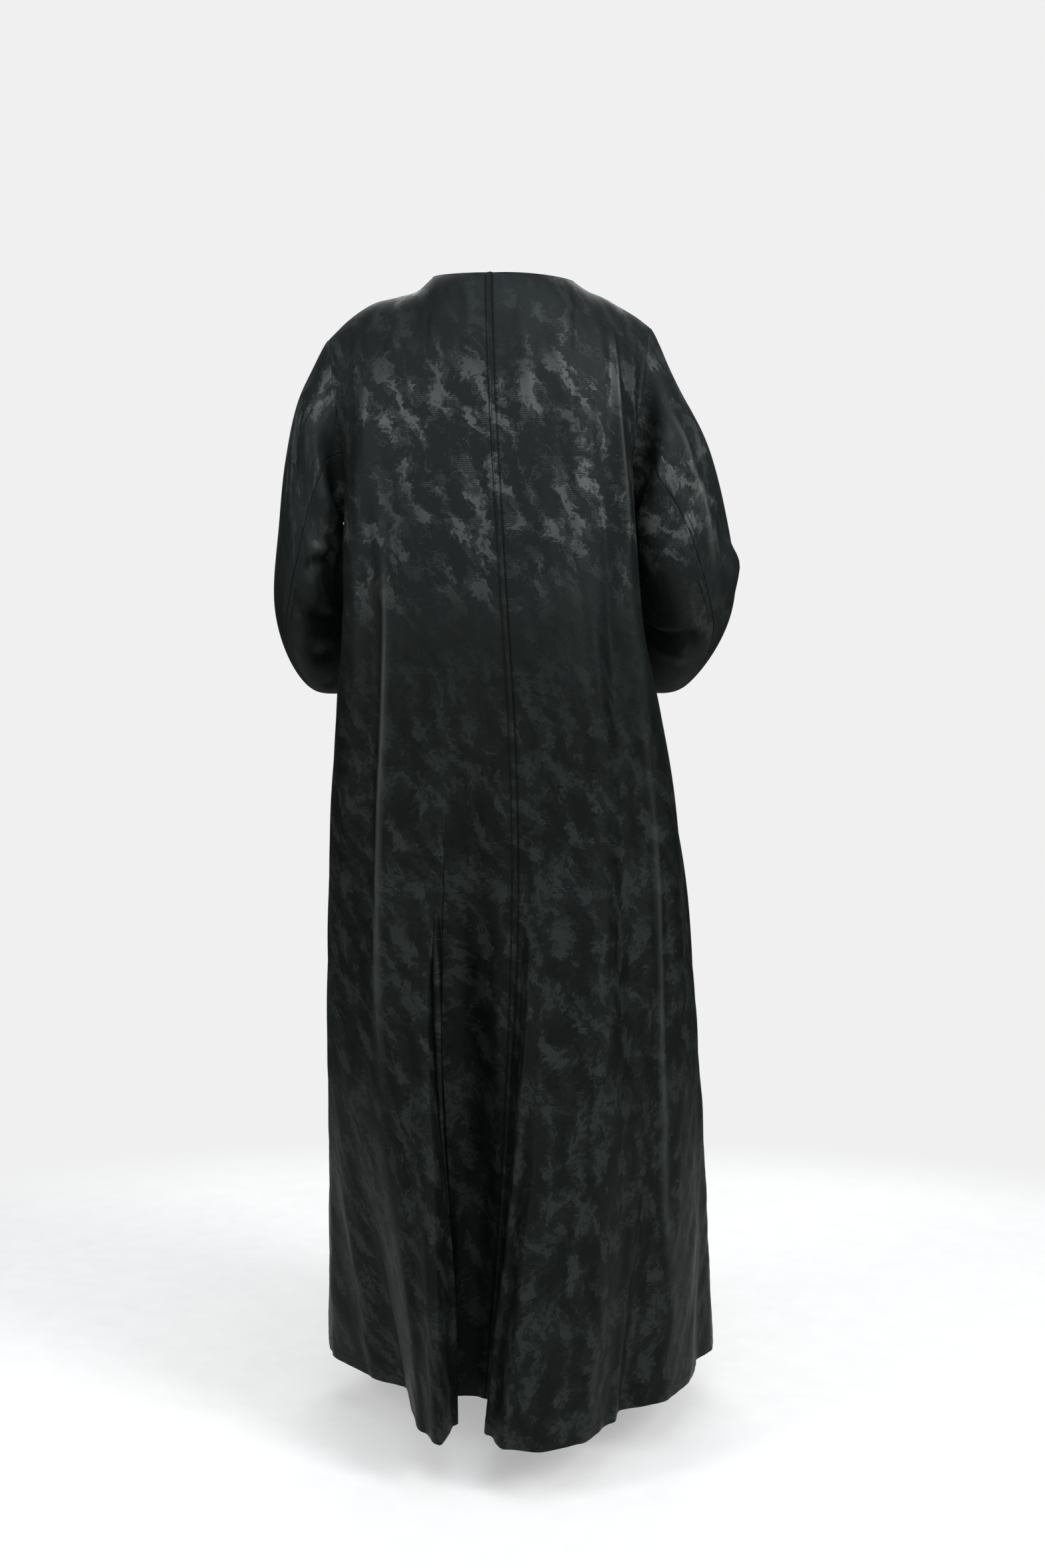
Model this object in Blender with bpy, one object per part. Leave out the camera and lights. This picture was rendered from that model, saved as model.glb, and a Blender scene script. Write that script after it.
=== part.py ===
"""Abaya cloak as it hangs on its wearer: two back halves, two front halves and two sleeves of two pieces.

Metres, +Z up. The origin is the middle of the neck opening, the front faces -Y and the wearer's left is +X.
"""

import math
from collections import namedtuple
from functools import lru_cache

import bmesh
import bpy
import numpy as np

# Driving sizes, in metres
WALL = 0.002
SEAM_GAP = 0.0003
HEM_Z = -1.410
UNDERARM_Z = -0.300
HALF_GIRTH = 0.62
SEAM_CALM = 0.06
FELL_WIDTH = 0.009
FELL_RISE = 0.0014
FELL_STEP = 0.0012
FRONT_LAP = 0.028
LAP_RISE = 0.0034
LAP_EASE = 0.030
LAP_HOLD = 0.004

# Neck opening: an ellipse at the base of the neck, lower at the front
NECK_X = 0.0025
NECK_BACK = 0.062
NECK_FRONT = 0.092
NECK_FRONT_DROP = 0.070
BACK_SEAM_AT_NECK = 0.0155
NECK_CORNER_PLACE = 0.195
YOKE_REACH_MIDDLE = 0.116
YOKE_REACH_SIDE = 0.078
YOKE_SINK_MIDDLE = 0.045
YOKE_SINK_EASE = 0.030
YOKE_SINK_ARM = 0.022
NEAR_ARM_FROM = 0.55
ARMHOLE_INSET = 0.006
FRONT_NECK_STAND = 0.012
ROUNDING_FROM = 0.3
UNDERARM_ROUND = 0.070
LIFT_MIDDLE = 0.45
LIFT_ARM_LESS = 0.10
SLOPE_STEP = 0.01

# Counts of rows and columns
ARMHOLE_ROWS = 9
SKIRT_ROWS = 21
SLEEVE_ROWS = 17
FRONT_NECK_STEPS = 6
CURVE_POINTS = 720
FOLD_SIGN_GAIN = 20.0

CLOTH_COLOUR = (0.022, 0.026, 0.025, 1.0)
CLOTH_ROUGHNESS = 0.5

# Level sections of the body below the underarm, without folds: how far they reach and how square they are
Section = namedtuple("Section", "z left right seam_x side_y back front back_square front_square")
SECTIONS = (
    Section(-0.30, 0.199, -0.160, 0.0025, 0.062, 0.122, -0.118, 2.6, 2.0),
    Section(-0.42, 0.202, -0.170, -0.0045, 0.058, 0.126, -0.126, 2.6, 2.0),
    Section(-0.55, 0.213, -0.196, -0.0125, 0.040, 0.128, -0.142, 2.5, 2.1),
    Section(-0.75, 0.227, -0.229, -0.0175, 0.005, 0.130, -0.165, 2.4, 2.2),
    Section(-1.00, 0.232, -0.252, -0.0165, -0.010, 0.128, -0.188, 2.4, 2.3),
    Section(HEM_Z, 0.236, -0.270, -0.0045, -0.050, 0.122, -0.225, 2.4, 2.4),
)

# Shoulder line from the neck to the tip of the shoulder seam, on each side
ShoulderPoint = namedtuple("ShoulderPoint", "share left_x left_z right_x right_z")
SHOULDER = (
    ShoulderPoint(0.00, 0.091, 0.000, -0.086, -0.006),
    ShoulderPoint(0.15, 0.109, -0.016, -0.101, -0.016),
    ShoulderPoint(0.35, 0.134, -0.024, -0.120, -0.024),
    ShoulderPoint(0.60, 0.167, -0.033, -0.142, -0.036),
    ShoulderPoint(0.82, 0.197, -0.053, -0.164, -0.049),
    ShoulderPoint(1.00, 0.221, -0.076, -0.180, -0.061),
)

# Fold lines from the body down to the hem. place runs from 0 at the back seam to 1 at the centre front;
# top is where the fold leaves the body, ease how slowly, and steps counts the columns up to the next line.
FoldLine = namedtuple("FoldLine", "name place top ease hem_x hem_y steps")
LEFT_FOLDS = (
    FoldLine("back seam", 0.000, -0.70, 1.4, 0.0185, 0.108, 1),
    FoldLine("deep fold floor", 0.065, -0.58, 1.5, 0.044, 0.098, 2),
    FoldLine("deep fold foot", 0.115, -0.58, 1.5, 0.066, 0.099, 2),
    FoldLine("flare right side", 0.155, -0.55, 1.3, 0.060, 0.190, 2),
    FoldLine("flare crest", 0.195, -0.60, 1.4, 0.079, 0.250, 2),
    FoldLine("flare left side", 0.270, -0.65, 1.5, 0.101, 0.212, 3),
    FoldLine("flare foot", 0.350, -1.00, 1.2, 0.131, 0.070, 3),
    FoldLine("side hollow", 0.425, -1.00, 1.2, 0.180, 0.031, 2),
    FoldLine("side roll", 0.480, -0.90, 1.2, 0.234, -0.042, 2),
    FoldLine("side seam", 0.540, -0.90, 1.3, 0.244, -0.110, 2),
    FoldLine("front side hollow", 0.640, -0.75, 1.4, 0.205, -0.165, 2),
    FoldLine("front flare", 0.740, -0.60, 1.4, 0.150, -0.262, 2),
    FoldLine("front hollow", 0.840, -0.60, 1.4, 0.082, -0.205, 2),
    FoldLine("front roll", 0.930, -0.60, 1.4, 0.035, -0.246, 1),
    FoldLine("centre front", 1.000, -0.60, 1.4, -0.005, -0.240, 0),
)
RIGHT_FOLDS = (
    FoldLine("back seam", 0.000, -0.70, 1.4, 0.0185, 0.108, 3),
    FoldLine("flare left side", 0.035, -0.70, 1.2, 0.0245, 0.219, 1),
    FoldLine("flare left crest", 0.085, -0.66, 1.3, 0.000, 0.262, 2),
    FoldLine("flare crest", 0.150, -0.62, 1.4, -0.045, 0.270, 2),
    FoldLine("flare right crest", 0.195, -0.62, 1.4, -0.092, 0.245, 3),
    FoldLine("flare right side", 0.265, -0.65, 1.5, -0.131, 0.184, 2),
    FoldLine("back hollow", 0.310, -0.65, 1.5, -0.145, 0.144, 2),
    FoldLine("side flare", 0.380, -0.60, 1.5, -0.205, 0.112, 2),
    FoldLine("side flare edge", 0.430, -0.65, 1.5, -0.242, 0.040, 1),
    FoldLine("side hollow", 0.465, -0.80, 1.5, -0.252, -0.022, 2),
    FoldLine("side roll", 0.510, -0.80, 1.4, -0.277, -0.062, 1),
    FoldLine("side seam", 0.545, -0.80, 1.3, -0.282, -0.118, 2),
    FoldLine("front side hollow", 0.640, -0.70, 1.4, -0.232, -0.158, 2),
    FoldLine("front flare", 0.745, -0.60, 1.4, -0.178, -0.250, 2),
    FoldLine("front hollow", 0.845, -0.60, 1.4, -0.105, -0.200, 2),
    FoldLine("front roll", 0.930, -0.60, 1.4, -0.050, -0.244, 1),
    FoldLine("centre front", 1.000, -0.60, 1.4, -0.005, -0.240, 0),
)

# Long soft folds on the body, by place around and height; side is +1 on the wearer's left
SoftFold = namedtuple("SoftFold", "side top_place top_z low_place low_z height half_width")
SOFT_FOLDS = (
    SoftFold(1, 0.268, -0.30, 0.262, -1.10, 0.006, 0.018),
    SoftFold(1, 0.315, -0.20, 0.315, -0.95, -0.007, 0.026),
    SoftFold(1, 0.100, -0.58, 0.095, -1.32, -0.018, 0.036),
    SoftFold(-1, 0.215, -0.14, 0.205, -0.60, -0.007, 0.035),
    SoftFold(-1, 0.295, -0.32, 0.290, -0.80, -0.008, 0.025),
    SoftFold(-1, 0.340, -0.42, 0.360, -1.20, 0.008, 0.025),
    SoftFold(-1, 0.185, -0.55, 0.190, -1.25, 0.007, 0.028),
)

# Rings of the sleeves, from below the cap to the cuff. lift raises a ring's outer side, pitch swings the
# arm forward, yaw turns it in and twist turns its seams out, in degrees; wide and deep are half sizes.
Ring = namedtuple("Ring", "name left_x right_x y z lift pitch yaw twist left_wide right_wide deep")
RINGS = (
    Ring("cap", 0.231, -0.1915, -0.006, -0.232, 74, 0, 0, 8, 0.0934, 0.0979, 0.078),
    Ring("upper arm", 0.2414, -0.2106, -0.008, -0.284, 59, 0, 0, 18, 0.0697, 0.0872, 0.076),
    Ring("above elbow", 0.2463, -0.222, -0.009, -0.329, 39, 6, 0, 28, 0.0507, 0.070, 0.077),
    Ring("elbow", 0.2485, -0.229, -0.022, -0.388, 14, 34, 14, 32, 0.0425, 0.0605, 0.084),
    Ring("below elbow", 0.228, -0.202, -0.078, -0.425, 0, 66, 36, 32, 0.042, 0.050, 0.098),
    Ring("forearm", 0.182, -0.163, -0.142, -0.428, 0, 84, 48, 30, 0.038, 0.040, 0.099),
    Ring("wrist", 0.128, -0.115, -0.196, -0.432, 0, 88, 54, 30, 0.038, 0.038, 0.095),
    Ring("cuff", 0.082, -0.071, -0.230, -0.436, 0, 88, 56, 30, 0.042, 0.042, 0.092),
)
STAND_OFF_OUT = 0.008
STAND_OFF_DOWN = 0.002
BACK_SLEEVE_SEAM = 0.30
FRONT_SLEEVE_SEAM = 0.75


def fresh_scene():
    for thing in list(bpy.data.objects):
        bpy.data.objects.remove(thing, do_unlink=True)


def smooth(t):
    t = np.clip(t, 0.0, 1.0)
    return t * t * (3.0 - 2.0 * t)


def through(at, knots, values):
    """A smooth curve through values at rising knots, read at one number or at many."""
    knots, values = np.asarray(knots, float), np.asarray(values, float)
    slopes = np.gradient(values, knots, axis=0)
    at = np.asarray(at, float)
    k = np.clip(np.searchsorted(knots, at) - 1, 0, len(knots) - 2)
    span = knots[k + 1] - knots[k]
    t = np.clip((at - knots[k]) / span, 0.0, 1.0)
    extra = (1,) * (values.ndim - 1)
    t, span = np.reshape(t, at.shape + extra), np.reshape(span, at.shape + extra)
    near, far = values[k], values[k + 1]
    bend_near, bend_far = slopes[k] * span, slopes[k + 1] * span
    return (
        near * (2 * t**3 - 3 * t**2 + 1)
        + bend_near * (t**3 - 2 * t**2 + t)
        + far * (3 * t**2 - 2 * t**3)
        + bend_far * (t**3 - t**2)
    )


def column(table, name):
    return [getattr(row, name) for row in table]


def section_at(z):
    heights = [-row.z for row in SECTIONS]
    return {
        name: float(through(-z, heights, column(SECTIONS, name)))
        for name in Section._fields[1:]
    }


def power(value, square):
    return np.sign(value) * np.abs(value) ** (2.0 / square)


def plain_outline(z):
    """The level outline at z as points from the centre front round by the wearer's right, and their run."""
    s = section_at(z)
    angle = np.linspace(-math.pi, math.pi, CURVE_POINTS + 1)
    back = np.abs(angle) <= math.pi / 2
    square = np.where(back, s["back_square"], s["front_square"])
    depth = np.where(back, s["back"] - s["side_y"], s["side_y"] - s["front"])
    x = (s["left"] + s["right"]) / 2 + (s["left"] - s["right"]) / 2 * power(np.sin(angle), square)
    y = s["side_y"] + depth * power(np.cos(angle), square)
    run = np.concatenate([[0.0], np.cumsum(np.hypot(np.diff(x), np.diff(y)))])
    behind = np.abs(angle) < math.pi / 3
    seam_run = np.interp(s["seam_x"], x[behind], run[behind])
    return x, y, run, seam_run


def folds_of(side):
    return LEFT_FOLDS if side > 0 else RIGHT_FOLDS


def side_seam_place(side):
    table = folds_of(side)
    return table[column(table, "name").index("side seam")].place


def fold_shift(side, places, z):
    """How far the folds carry the cloth in x and y at each place."""
    table = folds_of(side)
    knots = np.array(column(table, "place"))
    tops, eases = np.array(column(table, "top")), np.array(column(table, "ease"))
    share = np.clip((tops - z) / (tops - HEM_Z), 0.0, 1.0) ** eases
    carried = share[:, None] * hem_moves(side)
    k = np.clip(np.searchsorted(knots, places) - 1, 0, len(knots) - 2)
    t = smooth((places - knots[k]) / (knots[k + 1] - knots[k]))[:, None]
    return carried[k] * (1 - t) + carried[k + 1] * t


def plain_points(side, places, z):
    x, y, run, seam_run = plain_outline(z)
    end = run[-1] if side > 0 else run[0]
    at = seam_run + np.asarray(places) * (end - seam_run)
    return np.interp(at, run, x), np.interp(at, run, y)


@lru_cache
def hem_moves(side):
    """How far each fold line is carried at the hem, from where the plain outline would have it."""
    table = folds_of(side)
    x, y = plain_points(side, np.array(column(table, "place")), HEM_Z)
    return np.stack([column(table, "hem_x") - x, column(table, "hem_y") - y], axis=-1)


def body_row(side, places, z):
    """Points of the body at one height, for places from the back seam to the centre front."""
    places = np.asarray(places, float)
    x, y = plain_points(side, places, z)
    shift = fold_shift(side, places, z)
    return np.stack([x + shift[:, 0], y + shift[:, 1], np.full_like(x, z)], axis=-1)


def soft_fold_height(side, places, z):
    """How far the soft folds raise the cloth at places and heights."""
    raised = np.zeros(np.broadcast(places, z).shape)
    for fold in SOFT_FOLDS:
        if fold.side != side:
            continue
        t = (fold.top_z - z) / (fold.top_z - fold.low_z)
        centre = fold.top_place + (fold.low_place - fold.top_place) * np.clip(t, 0, 1)
        off = (places - centre) * HALF_GIRTH / fold.half_width
        fade = np.where((t > 0) & (t < 1), np.sin(np.pi * np.clip(t, 0, 1)) ** 2, 0.0)
        raised += fold.height * fade * np.exp(-off * off)
    return raised * smooth(places / SEAM_CALM)


def shoulder_point(side, share):
    x_name, z_name = ("left_x", "left_z") if side > 0 else ("right_x", "right_z")
    shares = column(SHOULDER, "share")
    x = through(share, shares, column(SHOULDER, x_name))
    z = through(share, shares, column(SHOULDER, z_name))
    return np.array([float(x), 0.0, float(z)])


def neck_point(side, share, front):
    """A point of the neck edge, from the centre line (0) to the side of the neck (1)."""
    corner = shoulder_point(side, 0.0)
    middle = NECK_X if front else BACK_SEAM_AT_NECK
    x = middle + share * (corner[0] - middle)
    across = (x - NECK_X) / (corner[0] - NECK_X)
    depth = math.sqrt(max(0.0, 1 - across * across))
    y, drop = (-NECK_FRONT * depth, NECK_FRONT_DROP * depth**1.5) if front else (NECK_BACK * depth, 0.0)
    return np.array([x, y, corner[2] * across * across - drop])


def top_point(side, share, front):
    """The top edge of a panel: the neck edge, then the shoulder line."""
    neck_share = NECK_CORNER_PLACE / side_seam_place(side)
    if share < neck_share:
        return neck_point(side, share / neck_share, front)
    return shoulder_point(side, (share - neck_share) / (1 - neck_share))


def yoke_column(side, place, share, front):
    """A column from the top edge over the shoulder or chest down to the underarm level."""
    start = top_point(side, share, front)
    end, below = (body_row(side, [place], z)[0] for z in (UNDERARM_Z, UNDERARM_Z - SLOPE_STEP))
    down = (end - below) / SLOPE_STEP
    out = -1.0 if front else 1.0
    near_arm = smooth((share - NEAR_ARM_FROM) / (1 - NEAR_ARM_FROM))
    reach = YOKE_REACH_MIDDLE + (YOKE_REACH_SIDE - YOKE_REACH_MIDDLE) * share
    sink = YOKE_SINK_MIDDLE - YOKE_SINK_EASE * smooth(2 * share) + YOKE_SINK_ARM * near_arm
    first = np.array([start[0] - ARMHOLE_INSET * side * near_arm, out * reach, start[2] - sink])
    if front:
        first[1] = min(first[1], start[1] - FRONT_NECK_STAND)
    rounding = np.clip((share - ROUNDING_FROM) / (1 - ROUNDING_FROM), 0, 1) ** 1.5
    lift = (start[2] - end[2]) * (LIFT_MIDDLE - LIFT_ARM_LESS * near_arm) * (1 - 0.6 * rounding)
    beside = place - out * UNDERARM_ROUND * rounding
    second = body_row(side, [beside], UNDERARM_Z)[0] + down * lift
    t = np.linspace(0, 1, ARMHOLE_ROWS + 1)[:, None]
    return (1 - t) ** 3 * start + 3 * t * (1 - t) ** 2 * first + 3 * t**2 * (1 - t) * second + t**3 * end


def skirt_heights():
    share = np.linspace(0, 1, SKIRT_ROWS + 1)[1:]
    return UNDERARM_Z + (HEM_Z - UNDERARM_Z) * share


def back_places(side):
    """Column places of a back half, from the back seam to the side seam."""
    table = [row for row in folds_of(side) if row.place <= side_seam_place(side)]
    runs = [np.linspace(a.place, b.place, a.steps + 1)[:-1] for a, b in zip(table, table[1:])]
    return np.concatenate(runs + [[table[-1].place]])


def front_places(side):
    """Column places of a front half; along the shoulder they meet the back's columns."""
    seam_place = side_seam_place(side)
    back = back_places(side)
    shoulder = 1 - (1 - seam_place) * back[back >= NECK_CORNER_PLACE] / seam_place
    return np.concatenate([shoulder[::-1], np.linspace(shoulder[0], 1.0, FRONT_NECK_STEPS + 1)[1:]])


def panel_points(side, places, front):
    """Outer points of a body panel at the given places, from the top edge down to the hem."""
    seam_place = side_seam_place(side)
    shares = (1 - places) / (1 - seam_place) if front else places / seam_place
    yoke = np.stack([yoke_column(side, p, s, front) for p, s in zip(places, shares)], axis=1)
    skirt = np.stack([body_row(side, places, z) for z in skirt_heights()])
    points = np.concatenate([yoke, skirt])
    raised = soft_fold_height(side, places[None, :], points[:, :, 2])
    return points + raised[:, :, None] * grid_normals(points, body_middle(points))


def back_panel(side):
    """A back half and how far its outer face is raised at each column; the left one has the felled edge."""
    places = back_places(side)
    raised = np.zeros(len(places))
    if side > 0:
        fell = np.array([FELL_WIDTH, FELL_WIDTH + FELL_STEP]) / HALF_GIRTH
        places = np.concatenate([places[:1], fell, places[1:]])
        raised = np.concatenate([[FELL_RISE, FELL_RISE], np.zeros(len(places) - 2)])
    return panel_points(side, places, front=False), raised


def front_panel(side):
    """A front half and how far it is lifted at each column; the right one laps over the left one."""
    places = front_places(side)
    if side > 0:
        return panel_points(side, places, front=True), np.zeros(len(places))
    rise_from = 1 - LAP_EASE / HALF_GIRTH
    full_from = 1 - LAP_HOLD / HALF_GIRTH
    places = np.concatenate([places[places < rise_from - 0.01], [rise_from, full_from, 1.0]])
    lifted = LAP_RISE * smooth((places - rise_from) / (full_from - rise_from))
    lap_places = 1 - np.linspace(0, FRONT_LAP / HALF_GIRTH, 3)[1:]
    points = panel_points(side, places, front=True)
    lap = panel_points(1, lap_places, front=True)
    points = np.concatenate([points, lap], axis=1)
    lifted = np.concatenate([lifted, np.full(len(lap_places), LAP_RISE)])
    return points, lifted


def body_middle(points):
    """A point in the middle of the garment at the panel's mean height, which its outside faces away from."""
    return np.array([0.0, 0.0, points[..., 2].mean()])


def grid_normals(points, inside):
    """Unit normals of a grid of points, pointing away from inside on the whole."""
    along = np.gradient(points, axis=1)
    down = np.gradient(points, axis=0)
    normal = unit(np.cross(along, down))
    if ((points - inside) * normal)[..., :2].sum() < 0:
        normal = -normal
    return normal


def sleeve_ring(side, row, turns):
    """Points of one sleeve ring; turns run from the outer side by the back (or under) side."""
    lift, pitch, yaw = (math.radians(v) for v in (row.lift, row.pitch, row.yaw))
    ahead = np.array([-math.sin(yaw), -math.cos(yaw), 0.0])
    fall = np.array([0.0, 0.0, -1.0])
    along = math.cos(pitch) * fall + math.sin(pitch) * ahead
    back = -math.cos(pitch) * ahead + math.sin(pitch) * fall
    outer = np.array([math.cos(yaw), -math.sin(yaw), 0.0])
    outer = math.cos(lift) * outer - math.sin(lift) * along
    x, wide = (row.left_x, row.left_wide) if side > 0 else (-row.right_x, row.right_wide)
    angle = 2 * math.pi * turns[:, None] - math.radians(row.twist)
    ring = np.array([x, row.y, row.z]) + wide * np.cos(angle) * outer + row.deep * np.sin(angle) * back
    ring[:, 0] *= side
    return ring


def sleeve(side, armhole):
    """A sleeve's outer points: rows from the armhole to the cuff, columns right round."""
    turns = np.linspace(0, 1, len(armhole))
    stand_off = armhole + np.array([side * STAND_OFF_OUT, 0.0, -STAND_OFF_DOWN])
    rings = np.stack([armhole, stand_off] + [sleeve_ring(side, row, turns) for row in RINGS])
    centres = rings[:, :-1].mean(axis=1)
    run = np.concatenate([[0.0], np.cumsum(np.linalg.norm(np.diff(centres, axis=0), axis=1))])
    at = np.concatenate([[0.0], np.linspace(run[1], run[-1], SLEEVE_ROWS)])
    return through(at, run, rings)


def armhole_loop(back, front):
    """The armhole from the shoulder tip down the back edge and up the front edge."""
    return np.concatenate([back[: ARMHOLE_ROWS + 1, -1], front[: ARMHOLE_ROWS + 1, 0][::-1][1:]])


def unit(vectors):
    return vectors / np.maximum(np.linalg.norm(vectors, axis=-1, keepdims=True), 1e-9)


def inward(points, normals):
    """For each edge point of a grid the direction into the panel, square to its normal; zero elsewhere."""
    into = np.zeros_like(points)
    into[0] += unit(points[1] - points[0])
    into[-1] += unit(points[-2] - points[-1])
    into[:, 0] += unit(points[:, 1] - points[:, 0])
    into[:, -1] += unit(points[:, -2] - points[:, -1])
    return into - (into * normals).sum(axis=-1, keepdims=True) * normals


def joined_normals(grids):
    """Normals of each grid; where panels meet they share the line midway between their outsides."""
    facing, going = {}, {}
    for points, normals in grids.values():
        into = inward(points, normals)
        for point, normal, step in zip(*(a.reshape(-1, 3) for a in (points, normals, into))):
            key = tuple(np.round(point, 6))
            facing[key] = facing.get(key, 0) + normal
            going[key] = going.get(key, 0) + step
    shared = {}
    for key, normal in facing.items():
        valley = np.clip(FOLD_SIGN_GAIN * (normal @ going[key]), -1, 1)
        shared[key] = unit(normal + valley * going[key])
    return {
        name: np.array([shared[tuple(np.round(p, 6))] for p in points.reshape(-1, 3)]).reshape(points.shape)
        for name, (points, _) in grids.items()
    }


def drawn_in(points, normals):
    """The grid with its top edge and both side edges moved into the panel by half the seam gap."""
    moved = points.copy()
    for at, inner, axis in ((0, 1, 0), (0, 1, 1), (-1, -2, 1)):
        line = np.take(points, at, axis=axis)
        toward = np.take(points, inner, axis=axis) - line
        run = np.gradient(line, axis=0)
        normal = np.take(normals, at, axis=axis)
        step = unit(np.cross(run, normal))
        step *= np.sign((step * toward).sum(axis=1, keepdims=True))
        if axis == 0:
            moved[at] += step * SEAM_GAP / 2
        else:
            moved[:, at] += step * SEAM_GAP / 2
    return moved


def cloth_material(name):
    material = bpy.data.materials.new(name)
    material.use_nodes = True
    shader = material.node_tree.nodes["Principled BSDF"]
    shader.inputs["Base Color"].default_value = CLOTH_COLOUR
    shader.inputs["Roughness"].default_value = CLOTH_ROUGHNESS
    shader.inputs["Metallic"].default_value = 0.0
    return material


def rim_order(rows, columns):
    """Grid indices once round the edge of a panel."""
    index = np.arange(rows * columns).reshape(rows, columns)
    return np.concatenate([index[0, :-1], index[:-1, -1], index[-1, :0:-1], index[:0:-1, 0]])


def cloth_wall(name, points, outer, inner):
    """One closed wall of cloth between two grids; points, shared at seams, say how its rim is split."""
    rows, columns = outer.shape[:2]
    mesh_maker = bmesh.new()
    sheets = []
    for places in (outer, inner):
        made = bmesh.ops.create_grid(mesh_maker, x_segments=columns - 1, y_segments=rows - 1, size=1)["verts"]
        for vert, place in zip(made, places.reshape(-1, 3)):
            vert.co = place
        sheets.append(made)
    rim = rim_order(rows, columns)
    keys = [tuple(np.round(p, 6)) for p in points.reshape(-1, 3)]
    for a, b in zip(rim, np.roll(rim, -1)):
        near, far = (a, b) if keys[a] > keys[b] else (b, a)
        mesh_maker.faces.new((sheets[0][near], sheets[0][far], sheets[1][far]))
        mesh_maker.faces.new((sheets[0][near], sheets[1][far], sheets[1][near]))
    bmesh.ops.recalc_face_normals(mesh_maker, faces=mesh_maker.faces)
    mesh = bpy.data.meshes.new(name)
    mesh_maker.to_mesh(mesh)
    mesh_maker.free()
    mesh.shade_smooth()
    mesh.set_sharp_from_angle(angle=math.radians(50))
    thing = bpy.data.objects.new(name, mesh)
    mesh.materials.append(cloth_material(name + "_cloth"))
    bpy.context.scene.collection.objects.link(thing)
    return thing


def sleeve_pieces(side, word, loop):
    """The grids and normals of a sleeve's upper and under pieces."""
    arm = sleeve(side, loop)
    inside = arm.mean(axis=(0, 1))
    wrapped = np.concatenate([arm[:, -2:-1], arm, arm[:, 1:2]], axis=1)
    normals = grid_normals(wrapped, inside)[:, 1:-1]
    turns = arm.shape[1] - 1
    first, last = round(turns * BACK_SLEEVE_SEAM), round(turns * FRONT_SLEEVE_SEAM)
    pieces = {"sleeve_" + word + "_under": (arm[:, first : last + 1], normals[:, first : last + 1])}
    upper = [np.concatenate([a[:, last:], a[:, 1 : first + 1]], axis=1) for a in (arm, normals)]
    pieces["sleeve_" + word + "_upper"] = tuple(upper)
    return pieces


def build():
    fresh_scene()
    grids, raised, lifted = {}, {}, {}
    for side, word in ((1, "left"), (-1, "right")):
        back, raised["back_" + word] = back_panel(side)
        front, lifted["front_" + word] = front_panel(side)
        grids["back_" + word] = (back, grid_normals(back, body_middle(back)))
        grids["front_" + word] = (front, grid_normals(front, body_middle(front)))
        grids.update(sleeve_pieces(side, word, armhole_loop(back, front)))
    normals = joined_normals(grids)
    for name, (points, _) in grids.items():
        normal = normals[name]
        outer = drawn_in(points, normal)
        if name in lifted:
            outer += lifted[name][:, None] * normal
        inner = outer - WALL * normal
        if name in raised:
            outer += raised[name][:, None] * normal
        cloth_wall(name, points, outer, inner)


build()
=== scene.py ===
"""The abaya cloak dressed for the picture: jacquard cloth, seams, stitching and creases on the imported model.

Metres, +Z up. The front faces -Y and the wearer's left is +X, as in the frame.
"""

import math
from collections import namedtuple
from functools import lru_cache

import bmesh
import bpy
import numpy as np
from mathutils import Euler, Matrix, Vector


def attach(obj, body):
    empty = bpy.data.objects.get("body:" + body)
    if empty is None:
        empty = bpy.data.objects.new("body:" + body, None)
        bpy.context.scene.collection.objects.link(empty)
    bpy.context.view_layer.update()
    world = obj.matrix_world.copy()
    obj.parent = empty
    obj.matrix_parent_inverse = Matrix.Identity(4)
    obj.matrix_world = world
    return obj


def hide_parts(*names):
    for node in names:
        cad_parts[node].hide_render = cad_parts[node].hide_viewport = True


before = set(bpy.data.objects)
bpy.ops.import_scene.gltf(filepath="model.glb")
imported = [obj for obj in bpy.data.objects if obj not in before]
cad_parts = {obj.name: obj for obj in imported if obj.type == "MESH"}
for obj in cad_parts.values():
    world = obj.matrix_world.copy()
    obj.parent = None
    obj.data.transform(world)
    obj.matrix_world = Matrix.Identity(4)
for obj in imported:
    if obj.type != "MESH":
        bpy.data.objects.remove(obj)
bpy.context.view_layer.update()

# Driving sizes, in metres
SEAM_GAP = 0.0003
HEM_Z = -1.410
UNDERARM_Z = -0.300
HALF_GIRTH = 0.62
SEAM_CALM = 0.06
CREASE_CALM = 0.03
SIDE_SEAM_CALM = 0.022
CALM_ROWS = 10
FELL_WIDTH = 0.0105
FELL_RISE = 0.0009
FELL_STEP = 0.0012
FELL_CLEAR = 0.003
FRONT_LAP = 0.028
LAP_RISE = 0.0034
LAP_EASE = 0.030
LAP_HOLD = 0.004

# Neck opening: an ellipse at the base of the neck, lower at the front, and the yoke that curves down from it
NECK_X = 0.0025
NECK_BACK = 0.062
NECK_FRONT = 0.092
NECK_FRONT_DROP = 0.070
NECK_DROP_POWER = 1.5
BACK_SEAM_AT_NECK = 0.0155
NECK_CORNER_PLACE = 0.195
YOKE_REACH_MIDDLE = 0.116
YOKE_REACH_SIDE = 0.078
YOKE_SINK_MIDDLE = 0.045
YOKE_SINK_EASE = 0.030
YOKE_SINK_ARM = 0.022
NEAR_ARM_FROM = 0.55
ARMHOLE_INSET = 0.006
FRONT_NECK_STAND = 0.012
ROUNDING_FROM = 0.3
UNDERARM_ROUND = 0.070
ROUNDING_POWER = 1.5
LIFT_MIDDLE = 0.45
LIFT_ARM_LESS = 0.10
LIFT_ROUND_LESS = 0.6
SLOPE_STEP = 0.01

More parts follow.
